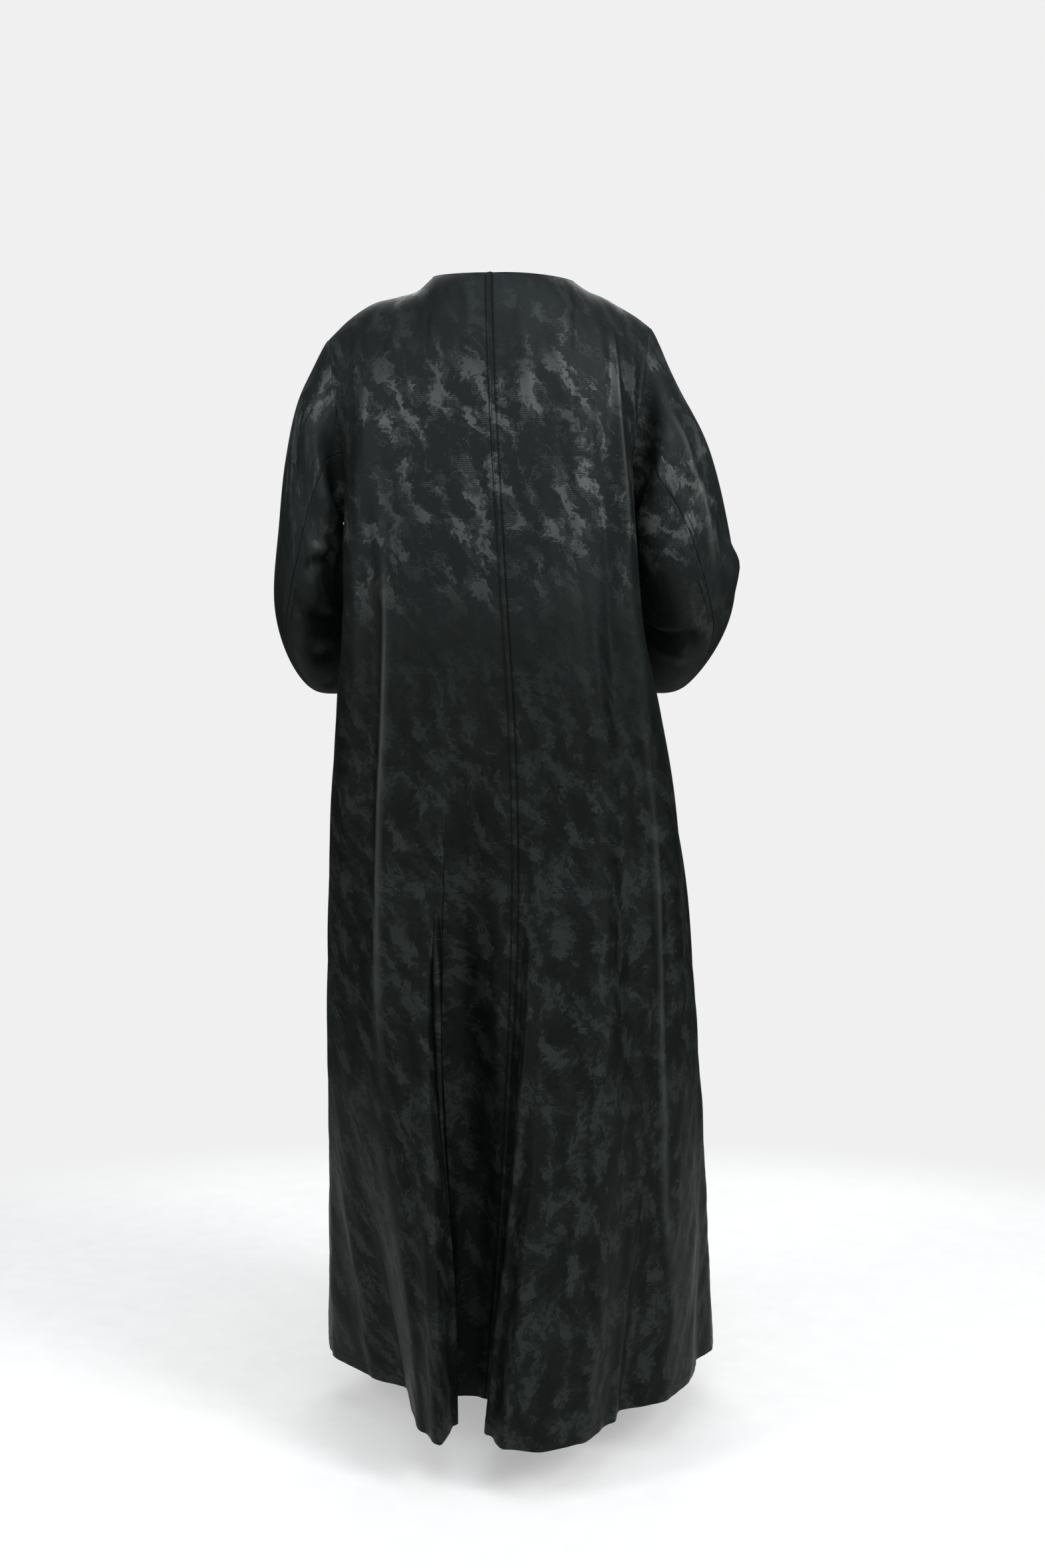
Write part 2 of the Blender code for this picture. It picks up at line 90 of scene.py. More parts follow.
# Level sections of the body below the underarm, without folds: how far they reach and how square they are
Section = namedtuple("Section", "z left right seam_x side_y back front back_square front_square")
SECTIONS = (
    Section(-0.30, 0.199, -0.160, 0.0025, 0.062, 0.122, -0.118, 2.6, 2.0),
    Section(-0.42, 0.202, -0.170, -0.0045, 0.058, 0.126, -0.126, 2.6, 2.0),
    Section(-0.55, 0.213, -0.196, -0.0125, 0.040, 0.128, -0.142, 2.5, 2.1),
    Section(-0.75, 0.227, -0.229, -0.0175, 0.005, 0.130, -0.165, 2.4, 2.2),
    Section(-1.00, 0.232, -0.252, -0.0165, -0.010, 0.128, -0.188, 2.4, 2.3),
    Section(HEM_Z, 0.236, -0.270, -0.0045, -0.050, 0.122, -0.225, 2.4, 2.4),
)

# Shoulder line from the neck to the tip of the shoulder seam, on each side
ShoulderPoint = namedtuple("ShoulderPoint", "share left_x left_z right_x right_z")
SHOULDER = (
    ShoulderPoint(0.00, 0.091, 0.000, -0.086, -0.006),
    ShoulderPoint(0.15, 0.109, -0.016, -0.101, -0.016),
    ShoulderPoint(0.35, 0.134, -0.024, -0.120, -0.024),
    ShoulderPoint(0.60, 0.167, -0.033, -0.142, -0.036),
    ShoulderPoint(0.82, 0.197, -0.053, -0.164, -0.049),
    ShoulderPoint(1.00, 0.221, -0.076, -0.180, -0.061),
)

# Fold lines from the body down to the hem. place runs from 0 at the back seam to 1 at the centre front;
# top is where the fold leaves the body, ease how slowly, and steps counts the columns up to the next line.
FoldLine = namedtuple("FoldLine", "name place top ease hem_x hem_y steps")
LEFT_FOLDS = (
    FoldLine("back seam", 0.000, -0.70, 1.4, 0.0185, 0.108, 1),
    FoldLine("deep fold floor", 0.065, -0.58, 1.5, 0.044, 0.098, 2),
    FoldLine("deep fold foot", 0.115, -0.58, 1.5, 0.066, 0.099, 2),
    FoldLine("flare right side", 0.155, -0.55, 1.3, 0.060, 0.190, 2),
    FoldLine("flare crest", 0.195, -0.60, 1.4, 0.079, 0.250, 2),
    FoldLine("flare left side", 0.270, -0.65, 1.5, 0.101, 0.212, 3),
    FoldLine("flare foot", 0.350, -1.00, 1.2, 0.131, 0.070, 3),
    FoldLine("side hollow", 0.425, -1.00, 1.2, 0.180, 0.031, 2),
    FoldLine("side roll", 0.480, -0.90, 1.2, 0.234, -0.042, 2),
    FoldLine("side seam", 0.540, -0.90, 1.3, 0.244, -0.110, 2),
    FoldLine("front side hollow", 0.640, -0.75, 1.4, 0.205, -0.165, 2),
    FoldLine("front flare", 0.740, -0.60, 1.4, 0.150, -0.262, 2),
    FoldLine("front hollow", 0.840, -0.60, 1.4, 0.082, -0.205, 2),
    FoldLine("front roll", 0.930, -0.60, 1.4, 0.035, -0.246, 1),
    FoldLine("centre front", 1.000, -0.60, 1.4, -0.005, -0.240, 0),
)
RIGHT_FOLDS = (
    FoldLine("back seam", 0.000, -0.70, 1.4, 0.0185, 0.108, 3),
    FoldLine("flare left side", 0.035, -0.70, 1.2, 0.0245, 0.219, 1),
    FoldLine("flare left crest", 0.085, -0.66, 1.3, 0.000, 0.262, 2),
    FoldLine("flare crest", 0.150, -0.62, 1.4, -0.045, 0.270, 2),
    FoldLine("flare right crest", 0.195, -0.62, 1.4, -0.092, 0.245, 3),
    FoldLine("flare right side", 0.265, -0.65, 1.5, -0.131, 0.184, 2),
    FoldLine("back hollow", 0.310, -0.65, 1.5, -0.145, 0.144, 2),
    FoldLine("side flare", 0.380, -0.60, 1.5, -0.205, 0.112, 2),
    FoldLine("side flare edge", 0.430, -0.65, 1.5, -0.242, 0.040, 1),
    FoldLine("side hollow", 0.465, -0.80, 1.5, -0.252, -0.022, 2),
    FoldLine("side roll", 0.510, -0.80, 1.4, -0.277, -0.062, 1),
    FoldLine("side seam", 0.545, -0.80, 1.3, -0.282, -0.118, 2),
    FoldLine("front side hollow", 0.640, -0.70, 1.4, -0.232, -0.158, 2),
    FoldLine("front flare", 0.745, -0.60, 1.4, -0.178, -0.250, 2),
    FoldLine("front hollow", 0.845, -0.60, 1.4, -0.105, -0.200, 2),
    FoldLine("front roll", 0.930, -0.60, 1.4, -0.050, -0.244, 1),
    FoldLine("centre front", 1.000, -0.60, 1.4, -0.005, -0.240, 0),
)

# Long soft folds on the body, by place around and height; side is +1 on the wearer's left
SoftFold = namedtuple("SoftFold", "side top_place top_z low_place low_z height half_width")
SOFT_FOLDS = (
    SoftFold(1, 0.268, -0.30, 0.262, -1.10, 0.006, 0.018),
    SoftFold(1, 0.315, -0.20, 0.315, -0.95, -0.007, 0.026),
    SoftFold(1, 0.100, -0.58, 0.095, -1.32, -0.018, 0.036),
    SoftFold(-1, 0.215, -0.14, 0.205, -0.60, -0.007, 0.035),
    SoftFold(-1, 0.295, -0.32, 0.290, -0.80, -0.008, 0.025),
    SoftFold(-1, 0.340, -0.42, 0.360, -1.20, 0.008, 0.025),
    SoftFold(-1, 0.185, -0.55, 0.190, -1.25, 0.007, 0.028),
)

# Rings of the sleeves, from below the cap to the cuff. lift raises a ring's outer side, pitch swings the
# arm forward, yaw turns it in and twist turns its seams out, in degrees; wide and deep are half sizes.
Ring = namedtuple("Ring", "name left_x right_x y z lift pitch yaw twist left_wide right_wide deep")
RINGS = (
    Ring("cap", 0.231, -0.1915, -0.006, -0.232, 74, 0, 0, 8, 0.0934, 0.0979, 0.078),
    Ring("upper arm", 0.2414, -0.2106, -0.008, -0.284, 59, 0, 0, 18, 0.0697, 0.0872, 0.076),
    Ring("above elbow", 0.2463, -0.222, -0.009, -0.329, 39, 6, 0, 28, 0.0507, 0.070, 0.077),
    Ring("elbow", 0.2485, -0.229, -0.022, -0.388, 14, 34, 14, 32, 0.0425, 0.0605, 0.084),
    Ring("below elbow", 0.228, -0.202, -0.078, -0.425, 0, 66, 36, 32, 0.042, 0.050, 0.098),
    Ring("forearm", 0.182, -0.163, -0.142, -0.428, 0, 84, 48, 30, 0.038, 0.040, 0.099),
    Ring("wrist", 0.128, -0.115, -0.196, -0.432, 0, 88, 54, 30, 0.038, 0.038, 0.095),
    Ring("cuff", 0.082, -0.071, -0.230, -0.436, 0, 88, 56, 30, 0.042, 0.042, 0.092),
)
STAND_OFF_OUT = 0.008
STAND_OFF_TOP = 0.002
STAND_OFF_DOWN = 0.002
BACK_SLEEVE_SEAM = 0.30
FRONT_SLEEVE_SEAM = 0.75

# Rows and columns of the fine cloth, and the easing where yoke and skirt join
CURVE_POINTS = 720
CREASE_STEPS = 40
YOKE_ROWS = 72
SKIRT_ROWS = 256
SLEEVE_ROWS = 112
JOIN_ROWS = 34
JOIN_PASSES = 90
JOIN_FROM_SIDE = 0.06
COLUMN_WIDTH = 0.005
BACK_COLUMN_WIDTH = 0.0036
UNDERLAP_COLUMNS = 6
LAP_COLUMNS = 6

# Sewing: edges turn in with a small roll, and what lies behind each edge is its turning. Stitches lie at
# these distances from their edge.
CLOTH_THICKNESS = 0.0008
ROLL = 0.0008
SEAM_TURNING = 0.006
HEM_TURNING = 0.016
CUFF_TURNING = 0.014
ARMHOLE_LAP = 0.010
ARMHOLE_UNDER = 0.0009
NECK_TURNING = 0.008
TURNED_ROWS = 5
FELL_STITCHES = (0.0014, 0.0090)
FELL_PLACES = (
    0.0008, 0.0015, 0.0023, 0.0034, 0.0050, 0.0066, 0.0076, 0.0084, 0.0092, 0.0100, 0.0108, 0.0117, 0.0132,
)
# Painted shade along the fell's stitched grooves: how far it reaches and how dark it goes
GROOVE_SHADE_REACH = (0.0004, 0.0019)
GROOVE_PAINTED_SHADE = 0.72
FELL_GROOVE = 0.0014
FELL_GROOVE_HALF = 0.0009
UNDERLAP_DEPTH = 0.0010
UNDERLAP_NEAREST = 0.0015
STITCH_LENGTH = 0.0027
STITCH_PITCH = 0.0035
THREAD_RADIUS = 0.00022
THREAD_STANDS = 0.4
HEM_STITCH = 0.013
CUFF_STITCH = 0.012
SLEEVE_RUN = 0.5
PUCKER_HEIGHT = 0.0002
PUCKER_REACH = 0.012
Pucker = namedtuple("Pucker", "pitch share phase")
PUCKERS = (Pucker(0.017, 1.0, 0.0), Pucker(0.0271, 0.6, 1.0))

# Creases on the body, by place around and height. height is how far the cloth rises, or sinks where negative,
# and crest how strongly a painted highlight lies along its top.
Crease = namedtuple("Crease", "name side path height half_width crest", defaults=[0.0])
BODY_CREASES = (
    Crease("back ridge", 1, (
        (0.290, -0.30), (0.289, -0.44), (0.288, -0.60),
        (0.288, -0.74), (0.292, -0.88), (0.290, -1.05),
    ), 0.0044, 0.0060, 0.55),
    Crease("hollow right of the ridge", 1, ((0.262, -0.34), (0.262, -0.56), (0.264, -0.80)), -0.0030, 0.014),
    Crease("hollow left of the ridge", 1, ((0.318, -0.34), (0.316, -0.56), (0.316, -0.80)), -0.0026, 0.014),
    Crease("edge roll", 1, ((0.384, -0.58), (0.378, -0.68), (0.376, -0.80)), 0.0016, 0.007),
    Crease("deep fold lip", 1, (
        (0.208, -0.56), (0.206, -0.74), (0.205, -0.86),
        (0.196, -0.97), (0.182, -1.10), (0.168, -1.29),
    ), 0.0014, 0.012),
    Crease("side trough", 1, ((0.345, -0.20), (0.332, -0.40), (0.326, -0.62)), -0.0024, 0.018),
    Crease("blade crease", 1, ((0.365, -0.130), (0.325, -0.100), (0.280, -0.080)), 0.0016, 0.010),
    Crease("low side sweep", 1,
           ((0.458, -1.10), (0.452, -1.23), (0.444, -1.31), (0.405, -1.36)), -0.0035, 0.012),
    Crease("flare edge", 1, ((0.372, -1.10), (0.350, -1.21), (0.352, -1.30), (0.356, -1.39)), -0.0045, 0.014),
    Crease("flare fall", 1, ((0.250, -0.92), (0.245, -1.10), (0.235, -1.30)), -0.0022, 0.012),
    Crease("deep fold valley", 1, (
        (0.140, -0.32), (0.140, -0.48), (0.138, -0.62), (0.134, -0.78),
        (0.126, -0.92), (0.112, -1.08), (0.100, -1.28),
    ), -0.0150, 0.042),
    Crease("deep fold climb", 1,
           ((0.050, -0.46), (0.050, -0.70), (0.050, -0.96), (0.046, -1.20)), 0.0050, 0.022),
    Crease("inner fall", 1, ((0.150, -0.50), (0.140, -0.72), (0.120, -0.98)), -0.0020, 0.014),
    Crease("front drape", 1, ((0.700, -0.22), (0.690, -0.60), (0.700, -1.12)), -0.0030, 0.016),
    Crease("front fall", 1, ((0.855, -0.36), (0.850, -0.80), (0.870, -1.30)), 0.0024, 0.009),
    Crease("chest drag", 1, ((0.640, -0.240), (0.700, -0.190), (0.770, -0.160)), -0.0022, 0.012),
    Crease("front side roll", 1, ((0.600, -0.50), (0.595, -0.80), (0.610, -1.22)), 0.0022, 0.008),
    Crease("shoulder trough", -1, ((0.250, -0.14), (0.235, -0.30), (0.237, -0.42)), -0.0024, 0.016),
    Crease("side trough", -1, (
        (0.320, -0.10), (0.292, -0.22), (0.276, -0.34), (0.262, -0.48),
        (0.244, -0.62), (0.232, -0.78), (0.240, -0.94), (0.256, -1.10),
    ), -0.0110, 0.022),
    Crease("arm side ridge", -1,
           ((0.362, -0.05), (0.352, -0.14), (0.344, -0.24), (0.330, -0.36)), 0.0060, 0.010, 0.30),
    Crease("flare ridge", -1, (
        (0.160, -0.66), (0.162, -0.84), (0.176, -0.96),
        (0.180, -1.08), (0.205, -1.24), (0.244, -1.37),
    ), 0.0020, 0.008),
    Crease("side ridge", -1, (
        (0.324, -0.42), (0.306, -0.72), (0.310, -0.88),
        (0.330, -1.04), (0.350, -1.17), (0.396, -1.36),
    ), 0.0050, 0.0065, 0.28),
    Crease("flare fall", -1, ((0.100, -0.80), (0.098, -1.05), (0.092, -1.34)), -0.0020, 0.012),
    Crease("side fall", -1, ((0.440, -0.60), (0.432, -0.90), (0.445, -1.25)), -0.0026, 0.012),
    Crease("front drape", -1, ((0.715, -0.30), (0.700, -0.66), (0.690, -1.20)), -0.0028, 0.015),
    Crease("front fall", -1, ((0.830, -0.30), (0.850, -0.70), (0.845, -1.24)), 0.0022, 0.009),
    Crease("chest drag", -1, ((0.650, -0.250), (0.705, -0.215), (0.760, -0.150)), -0.0020, 0.012),
    Crease("front side roll", -1, ((0.605, -0.62), (0.600, -0.90), (0.590, -1.30)), 0.0022, 0.008),
)

# Creases on the sleeves, by turn round the arm and run from the armhole
SLEEVE_CREASES = (
    Crease("tuck", 1, ((0.325, 0.150), (0.385, 0.139), (0.450, 0.112)), 0.0050, 0.0075),
    Crease("under the tuck", 1, ((0.325, 0.166), (0.396, 0.154), (0.480, 0.126)), -0.0070, 0.0075),
    Crease("above the crook", 1,
           ((0.300, 0.176), (0.400, 0.180), (0.470, 0.189), (0.540, 0.212)), 0.0045, 0.010),
    Crease("crook", 1, (
        (0.270, 0.193), (0.354, 0.192), (0.404, 0.199),
        (0.462, 0.208), (0.580, 0.238),
    ), -0.0095, 0.009),
    Crease("below the crook", 1, ((0.350, 0.211), (0.430, 0.222), (0.510, 0.246)), 0.0028, 0.009),
    Crease("forearm fold", 1, ((0.400, 0.240), (0.504, 0.264)), -0.0028, 0.008),
    Crease("low fold", 1, ((0.380, 0.288), (0.433, 0.297), (0.500, 0.302)), -0.0030, 0.009),
    Crease("outer drag", 1, ((0.060, 0.030), (0.150, 0.080), (0.240, 0.150)), 0.0018, 0.010),
    Crease("inner back", 1, ((0.430, 0.020), (0.420, 0.070), (0.400, 0.120)), 0.0070, 0.034),
    Crease("elbow bend", 1, ((0.660, 0.180), (0.740, 0.196), (0.830, 0.190)), -0.0045, 0.009),
    Crease("elbow bend low", 1, ((0.650, 0.225), (0.740, 0.228), (0.840, 0.222)), -0.0035, 0.008),
    Crease("forearm drag", 1, ((0.900, 0.260), (0.960, 0.340), (0.990, 0.420)), -0.0022, 0.010),
    Crease("outer ridge", -1, (
        (0.165, 0.040), (0.181, 0.076), (0.214, 0.110),
        (0.220, 0.140), (0.250, 0.172), (0.268, 0.200),
    ), 0.0046, 0.007, 0.45),
    Crease("elbow ridge", -1, ((0.200, 0.150), (0.236, 0.178), (0.240, 0.212)), 0.0030, 0.008),
    Crease("elbow point", -1, ((0.120, 0.196), (0.176, 0.199), (0.235, 0.205)), 0.0085, 0.012),
    Crease("above the point", -1, ((0.110, 0.168), (0.180, 0.174), (0.220, 0.176)), -0.0030, 0.010),
    Crease("above the crook", -1,
           ((0.560, 0.244), (0.470, 0.228), (0.400, 0.217), (0.330, 0.214)), 0.0045, 0.009),
    Crease("crook", -1, (
        (0.580, 0.262), (0.500, 0.250), (0.429, 0.238),
        (0.379, 0.232), (0.320, 0.233),
    ), -0.0095, 0.010),
    Crease("below the crook", -1, ((0.500, 0.268), (0.430, 0.254), (0.360, 0.250)), 0.0026, 0.009),
    Crease("crook side", -1, ((0.308, 0.184), (0.333, 0.208), (0.354, 0.232)), -0.0028, 0.006),
    Crease("under drag", -1, ((0.340, 0.040), (0.350, 0.100), (0.400, 0.170)), -0.0024, 0.012),
    Crease("inner back", -1, ((0.420, 0.010), (0.410, 0.070), (0.400, 0.140), (0.390, 0.200)), 0.0090, 0.036),
    Crease("elbow bend", -1, ((0.650, 0.185), (0.740, 0.200), (0.840, 0.192)), -0.0045, 0.009),
    Crease("elbow bend low", -1, ((0.660, 0.232), (0.750, 0.226), (0.830, 0.232)), -0.0035, 0.008),
    Crease("forearm drag", -1, ((0.910, 0.270), (0.950, 0.350), (0.985, 0.410)), -0.0022, 0.010),
)
SLEEVE_GIRTH = 0.45
CREASE_FADE = 0.28

# The cloth's slight unrest: long ripples across the panels
Ripple = namedtuple("Ripple", "height across down phase")
RIPPLES = (
    Ripple(0.00055, 0.083, 0.90, 0.4),
    Ripple(0.00045, 0.052, -0.61, 2.1),
    Ripple(0.00030, 0.034, 0.43, 4.0),
    Ripple(0.00020, 0.021, -0.27, 5.3),
)

# The woven figure: its repeat, and the rings on which its clouds are read
REPEAT_ACROSS = 0.110
REPEAT_DOWN = 0.269
RING_ACROSS = 0.84
RING_DOWN = 1.08
RING_PLACE = (0.37, 0.61, 0.83, 0.29)
Cloud = namedtuple("Cloud", "scale detail roughness")
CLOUDS = (Cloud(1.0, 4.0, 0.58), Cloud(3.3, 4.0, 0.66))
FINE_CLOUD_SHARE = 0.45
SWAY_SIZE, SWAY_REACH, SWAY_DETAIL = 13.0, 0.018, 1.2
TORN_SIZE, TORN_REACH = 130.0, 0.011
FRAY_SIZE, FRAY_REACH = 420.0, 0.0035
SHAKE_ROUGHNESS = 0.6
FIGURE_EDGE = (0.546, 0.560)
SHEEN_FIGURE_EDGE = (0.552, 0.580)
HALF_TONE_EDGE = (0.484, 0.498)
SHEEN_GROUND_EDGE = (0.434, 0.448)
WEFT_PITCH = 0.0026
WEFT_SHARE = 0.36
WEFT_LEAST = 0.06
GRAIN_LINES = 1400.0
GRAIN_SLANT = 0.6
GRAIN_LINE_SHARE = 0.35

# Tones of the cloth and thread, with painted sheen and painted shade by height and a painted highlight on
# crease tops, and the heights between which each way of the painted sheen and shade comes in or goes out
GROUND = (0.0118, 0.0140, 0.0137, 1.0)
# painted shade: the ground darker towards the bottom
LOW_GROUND_PAINTED_SHADE = (0.0088, 0.0106, 0.0101, 1.0)
# painted sheen: the far ground lighter low down, and the figure bright high up
GROUND_PAINTED_SHEEN = (0.0205, 0.0240, 0.0230, 1.0)
FIGURE_PAINTED_SHEEN = (0.0600, 0.0655, 0.0640, 1.0)
# painted shade: the figure dark low down
FIGURE_PAINTED_SHADE = (0.0056, 0.0069, 0.0065, 1.0)
# painted highlight along the tops of ridges
CREST_PAINTED_HIGHLIGHT = (0.0720, 0.0790, 0.0770, 1.0)
# the thread's own colour, also the colour of the painted shade in the stitched grooves
THREAD_AND_GROOVE_SHADE_COLOUR = (0.0030, 0.0034, 0.0036, 1.0)
THREAD_LIGHT = (0.0095, 0.0105, 0.0110, 1.0)
LOW_GROUND_Z = (-0.52, -0.20)
BRIGHT_Z = (-0.52, -0.20)
DARK_Z = (-0.72, -0.30)
QUIET_Z = (-0.14, -0.05)
QUIET_SHARE = 0.75
LOW_FIGURE_SHARE = 0.42
GROUND_SHEEN_SHARE = 0.75
# width of the painted highlight along a crease top
CREST_HIGHLIGHT_HALF = 0.0036
PATCH_SIZE = 6.5
PATCH_EDGE = (0.40, 0.58)
PATCH_LEAST = 0.35
DRIFT_REACH = 0.20
SATIN_SHARE = 0.36
CLOTH_ROUGHNESS = 0.47
FIGURE_SMOOTHER = 0.10
GRAIN_ROUGHER = 0.06
CLOTH_SPECULAR = 0.12
SPECULAR_TINT = (0.45, 0.45, 0.45, 1.0)
BUMP_DISTANCE = 0.0003
BUMP_STRENGTH = 0.35
FIGURE_RISE = 0.6
THREAD_LINES = 2600.0
THREAD_TONE_EDGE = (0.2, 0.8)
THREAD_ROUGHNESS = 0.60
THREAD_SPECULAR = 0.10

# Room: the floor, the surroundings and the lights, each aimed at the middle line at aim_z
FLOOR_Z = -1.477
FLOOR_RADIUS = 2.30
FLOOR_MIDDLE_Y = 0.90
FLOOR_FADE = 0.35
FLOOR_CLEAR = 0.02
FLOOR_PATCHES = 26.0
FLOOR_COLOURS = ((0.47, 0.47, 0.465, 1.0), (0.54, 0.54, 0.535, 1.0))
FLOOR_GLOW = 0.38
FLOOR_GLOW_COLOUR = (1.0, 1.0, 0.995, 1.0)
PALE = (0.871, 0.871, 0.871, 1.0)
ROOM_COLOUR = (0.92, 0.97, 1.0, 1.0)
ROOM_LIGHT = 0.07
ROOM_LIGHT_ABOVE = 0.30
ROOM_ABOVE = (-0.1, 0.75)
WHITE = (1.0, 1.0, 1.0)
Light = namedtuple("Light", "name place aim_z size power colour")
LIGHTS = (
    Light("overhead", (-0.7, 1.7, 2.3), -0.6, (2.4, 1.6), 40.0, (0.93, 0.97, 1.0)),
    Light("shoulder_light", (-0.1, 0.3, 1.7), 0.0, (1.2, 0.8), 11.0, (0.70, 0.84, 1.0)),
    Light("key", (-2.4, 2.0, 1.1), -0.7, (1.0, 1.6), 98.0, WHITE),
    Light("back_fill", (0.4, 3.4, 0.6), -0.7, (1.6, 1.6), 22.0, WHITE),
    Light("left_fill", (2.4, 1.6, 0.6), -0.6, (0.8, 1.8), 44.0, WHITE),
    Light("front_fill", (0.0, -2.4, 1.2), -0.6, (2.0, 1.6), 42.0, WHITE),
)
CAMERA_PLACE = (-0.021, 2.7685, -0.32)
CAMERA_TURN = (83.5, 0.0, 180.0)
LENS = 50.0
SENSOR_WIDTH = 36.0

# The record of a flat size a piece is cut to: width and length in metres, area in square metres
Cut = namedtuple("Cut", "width length area")


def smooth(t):
    t = np.clip(t, 0.0, 1.0)
    return t * t * (3.0 - 2.0 * t)


def through(at, knots, values):
    """A smooth curve through values at rising knots, read at one number or at many."""
    knots, values = np.asarray(knots, float), np.asarray(values, float)
    slopes = np.gradient(values, knots, axis=0)
    at = np.asarray(at, float)
    k = np.clip(np.searchsorted(knots, at) - 1, 0, len(knots) - 2)
    span = knots[k + 1] - knots[k]
    t = np.clip((at - knots[k]) / span, 0.0, 1.0)
    extra = (1,) * (values.ndim - 1)
    t, span = np.reshape(t, at.shape + extra), np.reshape(span, at.shape + extra)
    near, far = values[k], values[k + 1]
    bend_near, bend_far = slopes[k] * span, slopes[k + 1] * span
    return (
        near * (2 * t**3 - 3 * t**2 + 1)
        + bend_near * (t**3 - 2 * t**2 + t)
        + far * (3 * t**2 - 2 * t**3)
        + bend_far * (t**3 - t**2)
    )


def column(table, name):
    return [getattr(row, name) for row in table]


def section_at(z):
    heights = [-row.z for row in SECTIONS]
    return {name: float(through(-z, heights, column(SECTIONS, name))) for name in Section._fields[1:]}


def power(value, square):
    return np.sign(value) * np.abs(value) ** (2.0 / square)


def plain_outline(z):
    """The level outline at z as points from the centre front round by the wearer's right, and their run."""
    s = section_at(z)
    angle = np.linspace(-math.pi, math.pi, CURVE_POINTS + 1)
    back = np.abs(angle) <= math.pi / 2
    square = np.where(back, s["back_square"], s["front_square"])
    depth = np.where(back, s["back"] - s["side_y"], s["side_y"] - s["front"])
    x = (s["left"] + s["right"]) / 2 + (s["left"] - s["right"]) / 2 * power(np.sin(angle), square)
    y = s["side_y"] + depth * power(np.cos(angle), square)
    run = np.concatenate([[0.0], np.cumsum(np.hypot(np.diff(x), np.diff(y)))])
    behind = np.abs(angle) < math.pi / 3
    seam_run = np.interp(s["seam_x"], x[behind], run[behind])
    return x, y, run, seam_run


def folds_of(side):
    return LEFT_FOLDS if side > 0 else RIGHT_FOLDS


def side_seam_place(side):
    table = folds_of(side)
    return table[column(table, "name").index("side seam")].place


def fold_shift(side, places, z):
    """How far the folds carry the cloth in x and y at each place."""
    table = folds_of(side)
    knots = np.array(column(table, "place"))
    tops, eases = np.array(column(table, "top")), np.array(column(table, "ease"))
    share = np.clip((tops - z) / (tops - HEM_Z), 0.0, 1.0) ** eases
    carried = share[:, None] * hem_moves(side)
    k = np.clip(np.searchsorted(knots, places) - 1, 0, len(knots) - 2)
    t = smooth((places - knots[k]) / (knots[k + 1] - knots[k]))[:, None]
    return carried[k] * (1 - t) + carried[k + 1] * t


def plain_points(side, places, z):
    x, y, run, seam_run = plain_outline(z)
    end = run[-1] if side > 0 else run[0]
    at = seam_run + np.asarray(places) * (end - seam_run)
    return np.interp(at, run, x), np.interp(at, run, y)


@lru_cache
def hem_moves(side):
    """How far each fold line is carried at the hem, from where the plain outline would have it."""
    table = folds_of(side)
    x, y = plain_points(side, np.array(column(table, "place")), HEM_Z)
    return np.stack([column(table, "hem_x") - x, column(table, "hem_y") - y], axis=-1)


def body_row(side, places, z):
    """Points of the body at one height, for places from the back seam to the centre front."""
    places = np.asarray(places, float)
    x, y = plain_points(side, places, z)
    shift = fold_shift(side, places, z)
    return np.stack([x + shift[:, 0], y + shift[:, 1], np.full_like(x, z)], axis=-1)


def soft_fold_height(side, places, z):
    """How far the soft folds raise the cloth at places and heights."""
    raised = np.zeros(np.broadcast(places, z).shape)
    for fold in SOFT_FOLDS:
        if fold.side != side:
            continue
        t = (fold.top_z - z) / (fold.top_z - fold.low_z)
        centre = fold.top_place + (fold.low_place - fold.top_place) * np.clip(t, 0, 1)
        off = (places - centre) * HALF_GIRTH / fold.half_width
        fade = np.where((t > 0) & (t < 1), np.sin(np.pi * np.clip(t, 0, 1)) ** 2, 0.0)
        raised += fold.height * fade * np.exp(-off * off)
    return raised * smooth(places / SEAM_CALM)


def shoulder_point(side, share):
    x_name, z_name = ("left_x", "left_z") if side > 0 else ("right_x", "right_z")
    shares = column(SHOULDER, "share")
    x = through(share, shares, column(SHOULDER, x_name))
    z = through(share, shares, column(SHOULDER, z_name))
    return np.array([float(x), 0.0, float(z)])


def neck_point(side, share, front):
    """A point of the neck edge, from the centre line (0) to the side of the neck (1)."""
    corner = shoulder_point(side, 0.0)
    middle = NECK_X if front else BACK_SEAM_AT_NECK
    x = middle + share * (corner[0] - middle)
    across = (x - NECK_X) / (corner[0] - NECK_X)
    depth = math.sqrt(max(0.0, 1 - across * across))
    y = -NECK_FRONT * depth if front else NECK_BACK * depth
    drop = NECK_FRONT_DROP * depth**NECK_DROP_POWER if front else 0.0
    return np.array([x, y, corner[2] * across * across - drop])


def top_point(side, share, front):
    """The top edge of a panel: the neck edge, then the shoulder line."""
    neck_share = NECK_CORNER_PLACE / side_seam_place(side)
    if share < neck_share:
        return neck_point(side, share / neck_share, front)
    return shoulder_point(side, (share - neck_share) / (1 - neck_share))


